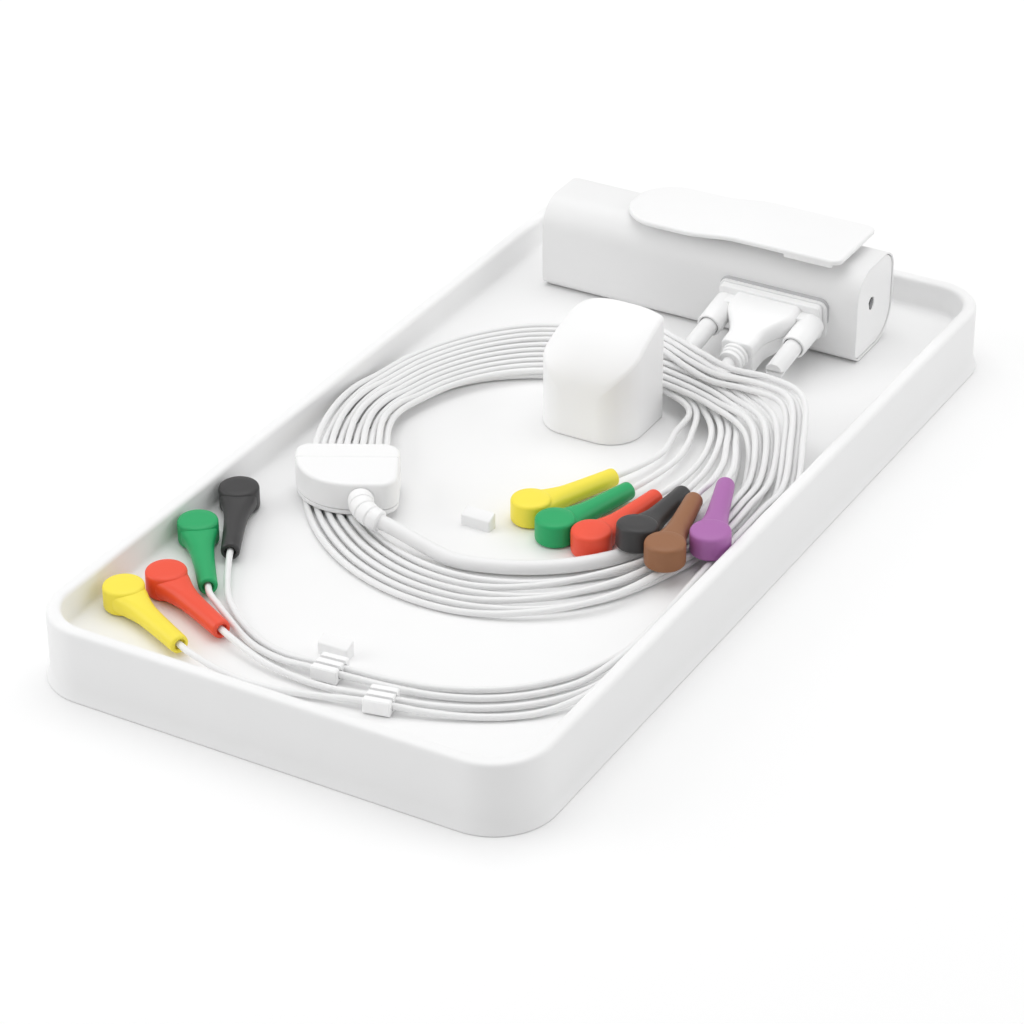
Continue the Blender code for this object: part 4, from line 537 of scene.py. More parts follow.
shell_grey = moulded("shell_grey", 0.85, 0.42, grain_size=0.35 * MM, grain_depth=0.007 * MM)
cap_seat = CAP_BACK + GAP
shell_profile = np.vstack([
    soften([(cap_seat, MOUTH_WALL), (MODULE_LEFT, MOUTH_WALL), (MODULE_LEFT, 0), (MODULE_RIGHT, 0),
            (MODULE_RIGHT, MOUTH_WALL), (KEY_SEAT, MOUTH_WALL)], 0.3 * MM),
    [(KEY_SEAT, SHELL_WALL), (cap_seat, SHELL_WALL)],
])
make("module_case", [along_x(shell_profile)], "module_plastic", shell_grey, ["module_shell"], loop=True)
plate_inset = MOUTH_WALL + GAP
spigot_inset = SHELL_WALL + GAP
cap_rings = along_x(soften([
    (CAP_END, spigot_inset + 1 * MM), (CAP_END, spigot_inset), (CAP_BACK, spigot_inset),
    (CAP_BACK, plate_inset), (CAP_FACE, plate_inset), (CAP_FACE, plate_inset + 1 * MM)], 0.4 * MM))
slot_flat = rounded_rings(spanned(*CAP_SLOT_HALF, *CAP_SLOT_CENTRE), 0.5 * MM, [0, 0], 14)
slot_rings = across_x(slot_flat, [CAP_FACE, CAP_FACE + CAP_SLOT_DEPTH])
make("battery_door", [np.concatenate([cap_rings, slot_rings])], "module_plastic", shell_grey,
     ["battery_cap"], "battery_cap")

key_rim = along_x([(KEY_FACE, plate_inset)])[0]
key_turns = np.arctan2(key_rim[:, 2] - WINDOW_CENTRE[1], key_rim[:, 1] - WINDOW_CENTRE[0])
pocket_radii = window_radii(key_turns, 0)
key_outside = along_x(soften([
    (KEY_BACK, plate_inset + 1 * MM), (KEY_BACK, plate_inset), (KEY_FACE, plate_inset),
    (KEY_FACE, plate_inset + 1 * MM)], 0.4 * MM))
key_pocket = np.stack([
    window_ring(key_turns, pocket_radii + 0.15 * MM, KEY_FACE),
    window_ring(key_turns, pocket_radii, KEY_FACE - 0.15 * MM),
    window_ring(key_turns, pocket_radii, KEY_FACE - WINDOW_DEPTH - GAP),
])
key_stem = turned([(KEY_STEM_RADIUS - 0.4 * MM, KEY_STEM_END), (KEY_STEM_RADIUS, KEY_STEM_END + 0.4 * MM),
                   (KEY_STEM_RADIUS, KEY_BACK + 0.5 * MM)])[..., [2, 0, 1]] + np.array([0, *KEY_STEM])
key_grey = moulded("key_grey", 0.91, 0.4, grain_size=0.3 * MM, grain_depth=0.006 * MM)
make("push_key", [np.concatenate([key_outside, key_pocket])], "module_plastic", key_grey,
     ["power_key"], "power_key")
make("push_key_stem", [key_stem], "module_plastic", key_grey, body="power_key")

lens_turns = np.linspace(0, TURN, 64, endpoint=False)
lens_rings = np.stack([
    window_ring(lens_turns, np.maximum(window_radii(lens_turns, -GAP) * share, 0), x)
    for share, x in ((1.0, KEY_FACE - WINDOW_DEPTH), (1.0, KEY_FACE - 0.2 * MM),
                     (0.93, KEY_FACE - 0.05 * MM), (0.8, KEY_FACE), (0.02, KEY_FACE))])
window_dark = moulded("window_dark", (0.035, 0.037, 0.042), 0.12, grain_depth=0.001 * MM, mottle=0.2,
                      coat=0.6)
make("indicator_window", [lens_rings], "window_plastic", window_dark, ["status_lens"], "power_key")

# Inside the module
# A green main board with a shielded radio, two cells in a row, their contact spring, the key's frame
# and its switch. The real ones are hidden by the shell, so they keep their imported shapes.


def board_finish():
    """Solder mask over copper tracks: lines of a brick pattern lie slightly lighter and raised."""
    material, start = blank_finish("board_green")
    place = start.node("ShaderNodeTexCoord", output="Object")
    flat = start.node("ShaderNodeMapping", {"Vector": place, "Rotation": (math.pi / 2, 0, 0)})
    tracks = start.node("ShaderNodeTexBrick", {
        "Vector": flat, "Scale": 1 / (4 * MM), "Mortar Size": 0.05, "Color1": (0, 0, 0, 1),
        "Color2": (0, 0, 0, 1), "Mortar": (1, 1, 1, 1)})
    return close_finish(material, start, {
        "Base Color": blend(tracks, (0.01, 0.12, 0.05), (0.03, 0.26, 0.11)), "Roughness": 0.35,
        "Normal": bump(tracks, 0.03 * MM)})


def plated(name, colour, roughness):
    """Plated steel: noise drawn out along one axis gives the sheet's rolling marks."""
    material, start = blank_finish(name)
    place = start.node("ShaderNodeTexCoord", output="Object")
    drawn = start.node("ShaderNodeMapping", {"Vector": place, "Scale": (0.06, 1.0, 1.0)})
    marks = noise(drawn, 0.25 * MM, 3.0)
    return close_finish(material, start, {
        "Base Color": blend(marks, [channel * 0.9 for channel in colour], colour), "Metallic": 1.0,
        "Roughness": roughness + (marks - 0.5) * 0.15, "Normal": bump(marks, 0.006 * MM)})


board_green = board_finish()
plated_steel = plated("plated_steel", (0.66, 0.66, 0.64), 0.28)
cell_sleeve = moulded("cell_sleeve", (0.28, 0.29, 0.31), 0.3, grain_depth=0.002 * MM, mottle=0.06)
black_insulator = moulded("black_insulator", 0.03, 0.5, mottle=0.1)
for node, material in {
    "main_board": board_green, "yoke_board": board_green, "radio_can": plated_steel,
    "cell_left": cell_sleeve, "cell_right": cell_sleeve, "cell_spring": plated_steel,
    "key_frame": shell_grey, "key_switch": black_insulator,
}.items():
    refinish(node, material)

# Socket
# A D-shaped fifteen-way socket in a grey bezel that stands tilted out of the module's front, with a
# jack nut at each end for the plug's screws. Only the bezel shows past the plug.
PLUG_TILT = math.radians(9)
PLUG_FRAME = (Matrix.Translation((28.3 * MM, 117.5 * MM, 29.2 * MM))
              @ Matrix.Rotation(PLUG_TILT, 4, "X") @ Matrix.Rotation(math.pi / 2, 4, "X"))
BEZEL_HALF = (21.0 * MM, 7.8 * MM)
BEZEL_CORNER = 3.0 * MM
BEZEL_PROUD = 1.4 * MM
BEZEL_DEPTH = 3.2 * MM
MOUTH_HALF = (13.0 * MM, 4.6 * MM)
MOUTH_CORNER = 2.4 * MM
SEAL_PROFILE = np.array([(-0.35, -2.6), (-0.35, 0.0), (-0.2, 0.15), (0.1, 0.15), (0.1, -2.6)]) * MM

bezel_outer = soften([(0.2 * MM, -BEZEL_DEPTH), (0, -BEZEL_DEPTH), (0, BEZEL_PROUD),
                      (1.5 * MM, BEZEL_PROUD)], 0.5 * MM)
mouth_flat = rounded_rings(spanned(*MOUTH_HALF), MOUTH_CORNER, [0, 0], 8)
bezel_rings = np.concatenate([carried(bezel_outer, spanned(*BEZEL_HALF), BEZEL_CORNER, 8),
                              raised(mouth_flat, [BEZEL_PROUD, -BEZEL_DEPTH])])
bezel_grey = moulded("bezel_grey", 0.86, 0.4, grain_size=0.35 * MM)
make("socket_frame", [bezel_rings], "module_plastic", bezel_grey, ["socket_bezel"], at=PLUG_FRAME, loop=True)
seal_rings = carried(SEAL_PROFILE, spanned(*BEZEL_HALF), BEZEL_CORNER, 8)
seal_grey = moulded("seal_grey", (0.52, 0.52, 0.53), 0.6)
make("socket_seal", [seal_rings], "module_plastic", seal_grey, at=PLUG_FRAME, loop=True)
for node in ("socket_shell", "jack_nut_left", "jack_nut_right"):
    refinish(node, plated_steel)
refinish("socket_insulator", black_insulator)

# Plug
# A white two-part hood on a steel flange, parted along its middle, tapering to a ribbed boot on the
# cable. A sleeve at each side guides a slotted thumbscrew that holds the plug in the socket.
HOOD_START = 3.8 * MM
HOOD_LENGTH = 26.5 * MM
HOOD_HALF_HEIGHT = 6.5 * MM
HOOD_HALF_WIDTH = 13.0 * MM
HOOD_HALF_NOSE = 6.2 * MM
HOOD_NOSE_LENGTH = 6.0 * MM
HOOD_NOSE_DROP = 1.5 * MM
HOOD_NOSE_DEPTH = 1.8 * MM
HOOD_ROUND = 2.2 * MM
HOOD_PARTING_ROUND = 0.05 * MM
HOOD_SLAB = 2.9 * MM
HOOD_SLAB_START = 1.4 * MM
HOOD_SLAB_BOX = (-19.7 * MM, 19.7 * MM, -6.3 * MM, 7.4 * MM)
SCREW_X = 16.65 * MM
SLEEVE_RADIUS = 4.8 * MM
SLEEVE_LENGTH = 15.5 * MM
SLEEVE_WEB = 5.0 * MM
WEB_X = 9.0 * MM
WEB_HALF = 4.6 * MM
SCREW_RADIUS = 3.3 * MM
SCREW_TIP_RADIUS = 1.3 * MM
SCREW_TIP_REACH = 5.0 * MM
SCREW_END = 35.0 * MM
SCREW_SLOT_HALF = 0.45 * MM
SCREW_SLOT_DEPTH = 1.4 * MM
BOOT_START = 25.7 * MM
BOOT_END = 36.2 * MM
BOOT_RADIUS = 5.0 * MM
BOOT_NECK = 4.0 * MM
BOOT_RIBS = 3


def hood_rings(side):
    """One half of the hood: rings across it, cut off at the parting plane. Its half width keeps to the
    flange, then falls as nose + (body - nose) (1 + cos pi t) / 2, and keeps to the nose, while its
    height shrinks as t^2 above the plane and grows so below it."""
    share = np.linspace(0, 1, 9)
    grow = -HOOD_NOSE_DROP if side > 0 else HOOD_NOSE_DEPTH
    flare = np.stack([
        SLEEVE_WEB + (HOOD_LENGTH - HOOD_NOSE_LENGTH - SLEEVE_WEB) * share,
        HOOD_HALF_NOSE + (HOOD_HALF_WIDTH - HOOD_HALF_NOSE) * (1 + np.cos(np.pi * share)) / 2,
        HOOD_HALF_HEIGHT + grow * share ** 2], axis=1)
    start = [(0, HOOD_HALF_WIDTH - 5 * MM, 3.5 * MM), (0, HOOD_HALF_WIDTH, HOOD_HALF_HEIGHT)]
    nose = [(HOOD_LENGTH, HOOD_HALF_NOSE - 0.1 * MM, HOOD_HALF_HEIGHT + grow), (HOOD_LENGTH, 3 * MM, 3 * MM)]
    along, width, height = soften(np.vstack([start, flare, nose]), 0.9 * MM, 5).T
    parting = np.full(len(width), side * GAP / 4)
    low, high = (parting, height) if side > 0 else (-height, parting)
    radii = (HOOD_PARTING_ROUND, HOOD_PARTING_ROUND, HOOD_ROUND, HOOD_ROUND)[::side]
    return raised(rounded_rings((-width, width, low, high), radii, width * 0, 6), along + HOOD_START)


def sleeve_rings(side):
    """The tube round a screw: its outline tapers a little, and its bore clears the screw."""
    end = HOOD_START + SLEEVE_LENGTH
    profile = soften([(SCREW_RADIUS + GAP, HOOD_START), (SLEEVE_RADIUS, HOOD_START),
                      (SLEEVE_RADIUS - 0.15 * MM, HOOD_START + SLEEVE_LENGTH * 0.5),
                      (SLEEVE_RADIUS - 0.3 * MM, end), (SCREW_RADIUS + GAP, end),
                      (SCREW_RADIUS + GAP, HOOD_START)], 0.6 * MM)
    return turned(profile, 32) + np.array([side * SCREW_X, 0, 0])


def web_rings(side):
    """The bar that ties a sleeve to the hood's body along the flange."""
    low, high = sorted((side * WEB_X, side * SCREW_X))
    profile = soften([(1 * MM, 0), (0, 0), (0, SLEEVE_WEB), (1 * MM, SLEEVE_WEB)], 0.6 * MM)
    return carried(profile, (low, high, -WEB_HALF, WEB_HALF), 0.8 * MM, 4, HOOD_START)


slab_profile = soften([(3 * MM, 0), (0, 0), (0, HOOD_SLAB), (3 * MM, HOOD_SLAB)], 0.5 * MM)
slab = carried(slab_profile, HOOD_SLAB_BOX, 1.6 * MM, 8, HOOD_SLAB_START)
hood_white = moulded("hood_white", 0.93, 0.36, grain_size=0.4 * MM, grain_depth=0.006 * MM)
hood_surfaces = [rings(side) for rings in (hood_rings, sleeve_rings, web_rings) for side in (1, -1)]
plug_pieces = [make("plug_hood", [*hood_surfaces, slab], "white_plastic", hood_white,
                    ["plug_hood_top", "plug_hood_bottom"], at=PLUG_FRAME)]


def half_head(side):
    """Half of a screw's head beside its slot: a circle's segment, swept up with a soft top edge.
    Its outline is the arc from one chord end to the other, then back along the chord."""
    insets = np.array([0, 0, 0.12, 0.45]) * MM
    heights = SCREW_END - np.array([SCREW_SLOT_DEPTH / MM, 0.45, 0.12, 0]) * MM
    share = np.linspace(0, 1, 25)
    radius = (SCREW_RADIUS - insets)[:, None]
    chord = np.arcsin((SCREW_SLOT_HALF + insets * 0.3)[:, None] / radius)
    arc = chord + (np.pi - 2 * chord) * share[None]
    back = np.linspace(-1, 1, 12)[None, 1:-1] * np.cos(chord)
    across = np.concatenate([np.cos(arc), back], axis=1) * radius
    outward = np.concatenate([np.sin(arc), np.broadcast_to(np.sin(chord), back.shape)], axis=1) * radius
    rings = np.stack([across, side * outward, np.broadcast_to(heights[:, None], across.shape)], axis=-1)
    return rings if side > 0 else rings[:, ::-1]


screw_grey = moulded("screw_grey", 0.86, 0.38, grain_size=0.3 * MM)
screw_bottom = HOOD_START + GAP
screw_stem = soften([
    (0, SCREW_END - SCREW_SLOT_DEPTH), (SCREW_RADIUS, SCREW_END - SCREW_SLOT_DEPTH),
    (SCREW_RADIUS, screw_bottom), (SCREW_TIP_RADIUS, screw_bottom),
    (SCREW_TIP_RADIUS, -SCREW_TIP_REACH), (0, -SCREW_TIP_REACH)], 0.02 * MM, 3)
for side, screw_name in ((-1, "thumbscrew_left"), (1, "thumbscrew_right")):
    screw_frame = PLUG_FRAME @ Matrix.Translation((side * SCREW_X, 0, 0))
    plug_pieces.append(make(
        f"{screw_name}_body", [turned(screw_stem), half_head(1), half_head(-1)], "module_plastic",
        screw_grey, [screw_name], screw_name, screw_frame, sharp=35))

boot_step = (BOOT_END - HOOD_START - HOOD_LENGTH - GAP) / BOOT_RIBS
boot_profile = [(0, BOOT_START), (BOOT_RADIUS, BOOT_START), (BOOT_RADIUS, BOOT_START + 2.3 * MM),
                (BOOT_NECK, BOOT_START + 2.3 * MM)]
for rib in range(BOOT_RIBS):
    rib_end = BOOT_END - boot_step * (BOOT_RIBS - 1 - rib)
    wide = BOOT_RADIUS - 0.35 * MM * rib
    boot_profile += [(BOOT_NECK, rib_end - boot_step * 0.95), (wide, rib_end - boot_step * 0.8),
                     (wide, rib_end - boot_step * 0.12), (BOOT_NECK, rib_end)]
boot_profile.append((2.4 * MM, BOOT_END))
boot_rings = turned(soften(boot_profile, 0.35 * MM))
jacket_rubber = moulded("boot_white", 0.92, 0.45, grain_size=0.4 * MM, grain_depth=0.008 * MM)
plug_pieces.append(make("plug_relief", [boot_rings], "cable_jacket", jacket_rubber, ["plug_boot"],
                        at=PLUG_FRAME))
refinish("plug_shell", plated_steel)
refinish("plug_insulator", black_insulator)

# Belt clip
# A sprung white plate over the module's top, bent down towards its tip. It turns on a steel pin
# between two lugs of a saddle that is glued to the shell, and its heel has a low lip on each side.
CLIP_FRAME = Matrix.Translation((40.5 * MM, 133.5 * MM, 50.1 * MM))
CLIP_LEFT = -77.2 * MM
CLIP_RIGHT = 12.5 * MM
CLIP_HALF_WIDTH = 16.5 * MM
CLIP_TIP_CORNER = 15.5 * MM
CLIP_HEEL_CORNER = 4.0 * MM
CLIP_BOTTOM = 1.1 * MM
CLIP_THICKNESS = 2.0 * MM
CLIP_EDGE = 0.85 * MM
CLIP_BEND = (-50.5 * MM, -27.5 * MM)
CLIP_BEND_DROP = 2.1 * MM
CLIP_ROOM = (3.2 * MM, 9.2 * MM, 0.85 * MM)
# Blocks that stand along the clip's length, in millimetres: half length, half width, distance from the
# middle, corner radius, bottom, top and edge
CLIP_LIP = (9.5, 1.075, 15.375, 0.9, 0.1, 2.0, 0.4)
CLIP_KNUCKLE = (1.4, 1.0, 3.7, 0.3, -1.4, 2.1, 0.15)
CLIP_LUG = (2.2, 1.6, 6.9, 0.3, -0.5, 1.3, 0.15)
CLIP_SADDLE = (3.2, 9.2, 0.0, 0.6, -2.2, 0.05, 0.2)


def block(sizes, side):
    """A block's rings from its bottom up, on one side of the middle, with both edges rounded."""
    half_length, half_width, offset, corner, low, high, edge = (value * MM for value in sizes)
    profile = soften([(edge * 2, low), (0, low), (0, high), (edge * 2, high)], edge * 1.6, 6)
    return carried(profile, spanned(half_length, half_width, 0, side * offset), corner, 6)


def clip_plate():
    """Sections across the plate from tip to heel. Each is a soft-edged rectangle, lowered by
    drop (1 + cos pi t) / 2 through the bend, with a shallow room over the pin cut into its underside."""
    ease = (1 - np.cos(np.linspace(0, np.pi, 25))) / 2
    room_half, room_reach, room_depth = CLIP_ROOM
    room_ends = np.array([-room_half - 0.01 * MM, -room_half, room_half, room_half + 0.01 * MM])
    x = np.unique(np.concatenate([
        CLIP_LEFT + CLIP_TIP_CORNER * ease ** 2, np.linspace(CLIP_LEFT + CLIP_TIP_CORNER, CLIP_RIGHT, 50),
        CLIP_RIGHT - CLIP_HEEL_CORNER * ease ** 2, room_ends]))
    from_tip, from_heel = x - CLIP_LEFT, CLIP_RIGHT - x
    half = (CLIP_HALF_WIDTH - round_corner(from_tip, CLIP_TIP_CORNER)
            - round_corner(from_heel, CLIP_HEEL_CORNER))
    thin = np.minimum(round_corner(from_tip, CLIP_EDGE) + round_corner(from_heel, CLIP_EDGE), CLIP_EDGE)
    share = np.clip((x - CLIP_BEND[0]) / (CLIP_BEND[1] - CLIP_BEND[0]), 0, 1)
    bottom = CLIP_BOTTOM - CLIP_BEND_DROP * (1 + np.cos(np.pi * share)) / 2
    flat = rounded_rings((-half, half, bottom, bottom + CLIP_THICKNESS), CLIP_EDGE, thin, 6)
    low = bottom + thin
    deep = np.where(np.abs(x) <= room_half, room_depth, 0) + low
    side = np.minimum(room_reach, half * 0.5)
    room = np.stack([[-side, low], [-side, deep], [side, deep], [side, low]]).transpose(2, 0, 1)
    return across_x(np.concatenate([flat[:, :7], room, flat[:, 7:]], axis=1), x)


belt_white = moulded("belt_white", 0.90, 0.4, grain_size=0.5 * MM, grain_depth=0.006 * MM)
clip_blocks = [block(sizes, side) for side in (-1, 1) for sizes in (CLIP_LIP, CLIP_KNUCKLE)]
make("belt_plate", [clip_plate(), *clip_blocks], "white_plastic", belt_white, ["belt_clip"], "belt_clip",
     CLIP_FRAME)
saddle = [block(CLIP_SADDLE, 1), block(CLIP_LUG, -1), block(CLIP_LUG, 1)]
make("clip_saddle", saddle, "white_plastic", belt_white, ["clip_base"], at=CLIP_FRAME)
refinish("clip_pin", plated_steel)
refinish("clip_spring", plated_steel)

# Yoke
# A small white box, a deep lid on a floor plate, where the trunk cable becomes ten leads. They leave
# its back in a row through collars, and a ribbed boot guides the trunk out of its front.
YOKE_HEADING = math.radians(28)
YOKE_FRAME = (Matrix.Translation((-46.5 * MM, -52.0 * MM, 16.8 * MM))
              @ Matrix.Rotation(YOKE_HEADING, 4, "Z"))
YOKE_FRONT = -12.0 * MM
YOKE_BACK = 15.0 * MM
YOKE_BOX = (-17.5 * MM, 17.5 * MM, YOKE_FRONT, YOKE_BACK)
YOKE_RADII = (20.0 * MM, 6.0 * MM, 6.0 * MM, 4.5 * MM)
YOKE_HEIGHT = 12.0 * MM
YOKE_SPLIT = 1.6 * MM
YOKE_WALL = 2.0 * MM
YOKE_EDGE = 1.8 * MM
YOKE_STEP = 0.35 * MM
YOKE_STEP_Y = 5.5 * MM
YOKE_STEP_INSET = 0.02 * MM
YOKE_BOOT_X = 5.7 * MM
YOKE_BOOT_BEND = 13.5 * MM
YOKE_BOOT_TURN = math.radians(62)
YOKE_BOOT_DROP = 1.2 * MM
YOKE_BOOT_RADIUS = 4.4 * MM
YOKE_BOOT_STEPS = 10
YOKE_BOOT_RIBS = 4
LEAD_COUNT = 10
LEAD_PITCH = 2.7 * MM
LEAD_DIAMETER = 2.2 * MM
TRUNK_DIAMETER = 5.0 * MM


def sweep(path, radius, sides=18):
    """Rings along a path: path + radius (cos side + sin up). side is level and square to the path,
    up is square to both, and radius may change along the path."""
    path = np.asarray(path, float)
    ahead = np.gradient(path, axis=0)
    ahead /= np.linalg.norm(ahead, axis=1)[:, None]
    side = np.cross(ahead, (0, 0, 1))
    side /= np.linalg.norm(side, axis=1)[:, None]
    up = np.cross(side, ahead)
    turn = np.linspace(0, TURN, sides, endpoint=False)[None, :, None]
    radius = np.broadcast_to(np.asarray(radius, float), len(path))[:, None, None]
    return path[:, None] + radius * (np.cos(turn) * side[:, None] + np.sin(turn) * up[:, None])


def boot_line(steps):
    """A quarter bend that leaves the yoke's front squarely, turns right and dips a little."""
    share = np.linspace(0, 1, steps + 1)
    turn = YOKE_BOOT_TURN * share
    x = YOKE_BOOT_X + YOKE_BOOT_BEND * (1 - np.cos(turn))
    y = YOKE_FRONT - GAP - YOKE_BOOT_BEND * np.sin(turn)
    z = YOKE_HEIGHT / 2 - YOKE_BOOT_DROP * share ** 2
    return placed(np.stack([x, y, z], axis=1), YOKE_FRAME)


yoke_white = moulded("yoke_white", 0.90, 0.42, grain_size=0.45 * MM, grain_depth=0.007 * MM)
base_profile = soften([(2 * MM, 0), (0, 0), (0, YOKE_SPLIT), (2 * MM, YOKE_SPLIT)], 0.4 * MM)
lid_low = YOKE_SPLIT + GAP
lid_top = YOKE_HEIGHT - YOKE_STEP
lid_inside = YOKE_HEIGHT - YOKE_WALL
lid_profile = np.vstack([
    [(YOKE_WALL, lid_inside), (YOKE_WALL, lid_low), (0.15 * MM, lid_low), (0, lid_low + 0.15 * MM)],
    soften([(0, YOKE_SPLIT + 1 * MM), (0, lid_top), (3.0 * MM, lid_top)], YOKE_EDGE, 10)])
back_profile = soften([(3 * MM, lid_inside), (0, lid_inside - 2 * MM), (0, YOKE_HEIGHT),
                       (3 * MM, YOKE_HEIGHT)], YOKE_EDGE, 10)
back_box = (YOKE_BOX[0] + YOKE_STEP_INSET, YOKE_BOX[1] - YOKE_STEP_INSET, YOKE_STEP_Y,
            YOKE_BACK - YOKE_STEP_INSET)
base_rings = carried(base_profile, YOKE_BOX, YOKE_RADII, 18)
lid_rings = carried(lid_profile, YOKE_BOX, YOKE_RADII, 18)
back_rings = carried(back_profile, back_box, (0.8 * MM, 0.8 * MM, *YOKE_RADII[2:]), 10)
yoke_pieces = [
    make("yoke_floor", [base_rings], "white_plastic", yoke_white, ["yoke_base"], at=YOKE_FRAME),
    make("yoke_cover", [lid_rings, back_rings], "white_plastic", yoke_white, ["yoke_lid"], at=YOKE_FRAME),
]

collar_profile = soften([(1.35 * MM, -0.5 * MM), (1.35 * MM, 0.25 * MM), (1.12 * MM, 0.45 * MM),
                         (1.12 * MM, -0.5 * MM)], 0.15 * MM, 3)
collar_rings = turned(collar_profile, 24)[..., [0, 2, 1]]
collar_places = [((LEAD_COUNT - 1) / 2 - index) * LEAD_PITCH for index in range(LEAD_COUNT)]
collars = [collar_rings + np.array([across, YOKE_BACK, YOKE_HEIGHT / 2]) for across in collar_places]
yoke_pieces.append(make("yoke_collars", collars, "white_plastic", yoke_white, at=YOKE_FRAME, loop=True))

boot_path = boot_line(120)
boot_share = np.linspace(0, 1, len(boot_path))
rib_wave = np.clip(np.abs(np.sin(np.pi * YOKE_BOOT_RIBS * boot_share)) * 3.2, 0, 1)
boot_radius = (YOKE_BOOT_RADIUS - 0.7 * MM * boot_share) * (0.84 + 0.16 * rib_wave)
boot_radius = np.where(boot_share < 0.04, YOKE_BOOT_RADIUS, boot_radius)
yoke_pieces.append(make("yoke_relief", [sweep(boot_path, boot_radius, 28)], "cable_jacket", jacket_rubber,
                        ["yoke_boot"]))

# Trunk cable
# A round white cable, five millimetres thick, in a smooth jacket. It runs from the yoke's boot round
# the middle of the coil, under the leads and up to the plug's boot.
TRUNK_SPACING = 11.0 * MM
TRUNK_ROUTE = np.array([
    (-7, -68.8, 18.6), (4, -69.4, 16.9), (17, -66.6, 16.8), (30, -60.6, 16.8), (41, -52.4, 16.8),
    (50, -42, 16.8), (56.6, -29.5, 16.8), (60.6, -15, 16.8), (62.2, 0, 16.8), (60.6, 14.5, 16.8),
    (56.6, 28, 16.8), (50.8, 40, 16.8), (43.6, 50.6, 16.8), (36.2, 59.4, 16.9),
    (31.0, 67.4, 18.9)]) * MM


def knotted_route(route, spacing):
    """Points about a spacing apart on a centripetal Catmull-Rom curve through the route: each leg is
    blended twice between its four neighbours, whose knots grow with the root of their distances."""
    route = np.asarray(route, float)
    ends = np.vstack([2 * route[0] - route[1], route, 2 * route[-1] - route[-2]])
    legs = []
    for four in zip(ends, ends[1:], ends[2:], ends[3:]):
        knots = np.concatenate([[0], np.cumsum(np.sqrt(np.linalg.norm(np.diff(four, axis=0), axis=1)))])
        count = max(1, round(float(np.linalg.norm(four[2] - four[1])) / spacing))
        knot = (knots[1] + (knots[2] - knots[1]) * np.arange(count) / count)[:, None]
        curves = list(four)
        for depth in (1, 2):
            curves = [(curves[i] * (knots[i + depth] - knot) + curves[i + 1] * (knot - knots[i]))
                      / (knots[i + depth] - knots[i]) for i in range(len(curves) - 1)]
        legs.append((curves[0] * (knots[2] - knot) + curves[1] * (knot - knots[1])) / (knots[2] - knots[1]))
    return np.vstack([*legs, route[-1:]])


def fine_line(points, step=0.9 * MM):
    """A smooth line through points: cubic pieces whose slopes at the points are their own
    second-order differences over the distance run."""
    points = np.asarray(points, float)
    places = run_lengths(points)
    slopes = np.gradient(points, places, axis=0)
    fine = np.linspace(0, places[-1], max(2, int(places[-1] / step)))
    leg = np.clip(np.searchsorted(places, fine, side="right") - 1, 0, len(points) - 2)
    run = np.diff(places)[leg][:, None]
    share = (fine[:, None] - places[leg][:, None]) / run
    return (points[leg] * (2 * share ** 3 - 3 * share ** 2 + 1)
            + slopes[leg] * run * (share ** 3 - 2 * share ** 2 + share)
            + points[leg + 1] * (3 * share ** 2 - 2 * share ** 3)
            + slopes[leg + 1] * run * (share ** 3 - share ** 2))


def jacket_finish(name, grey, roughness, line_count):
    """An extruded jacket: die lines run along the cable, read from the UV map, and a faint cloud
    changes its gloss."""
    material, start = blank_finish(name)
    run = start.node("ShaderNodeUVMap", uv_map="run")
    lines = start.node("ShaderNodeMapping", {"Vector": run, "Scale": (40.0, line_count, 1.0)})
    cloud = noise(start.node("ShaderNodeTexCoord", output="Object"), 12 * MM)
    return close_finish(material, start, {
        "Base Color": blend(cloud, [grey * 0.965] * 3, [grey] * 3),
        "Roughness": roughness + (cloud - 0.5) * 0.12,
        "Normal": bump(noise(lines, 1.0), 0.012 * MM), "IOR": 1.5, "Specular IOR Level": 0.45})


def run_lengths(path):
    """The distance run along a path at each of its points."""
    return np.concatenate([[0], np.cumsum(np.linalg.norm(np.diff(path, axis=0), axis=1))])


def lay_cable(name, node, path, diameter, material, sides, **cord):
    """A tube along a path, with the distance run in its UV map, which stands for a node."""
    runs = run_lengths(path)
    piece = make(name, [sweep(path, diameter / 2, sides)], "cable_jacket", material, [node], along=runs)


boot_ends = boot_line(YOKE_BOOT_STEPS)
trunk_heading = boot_ends[-1] - boot_ends[-2]
trunk_heading /= np.linalg.norm(trunk_heading)
trunk_start = boot_ends[-1] + trunk_heading * GAP
plug_axis_points = placed(np.array([(0, 0, BOOT_END + GAP + TRUNK_DIAMETER), (0, 0, BOOT_END + GAP),
                                    (0, 0, BOOT_END - 2.0 * MM)]), PLUG_FRAME)
trunk_knots = np.vstack([trunk_start, trunk_start + trunk_heading * TRUNK_DIAMETER, TRUNK_ROUTE,
                         plug_axis_points[:2]])
trunk_points = knotted_route(trunk_knots, TRUNK_SPACING)
trunk_points = np.vstack([trunk_start - trunk_heading * 2.0 * MM, trunk_points, plug_axis_points[2:]])
trunk_path = fine_line(trunk_points)[::-1]
trunk_white = jacket_finish("trunk_white", 0.87, 0.38, 60.0)
lay_cable("trunk_line", "trunk_cable", trunk_path, TRUNK_DIAMETER, trunk_white, 28, far_end="fitting",
          lay="loose",
          with_pieces=[*plug_pieces, *yoke_pieces, "plug_shell", "plug_insulator", "yoke_board"])

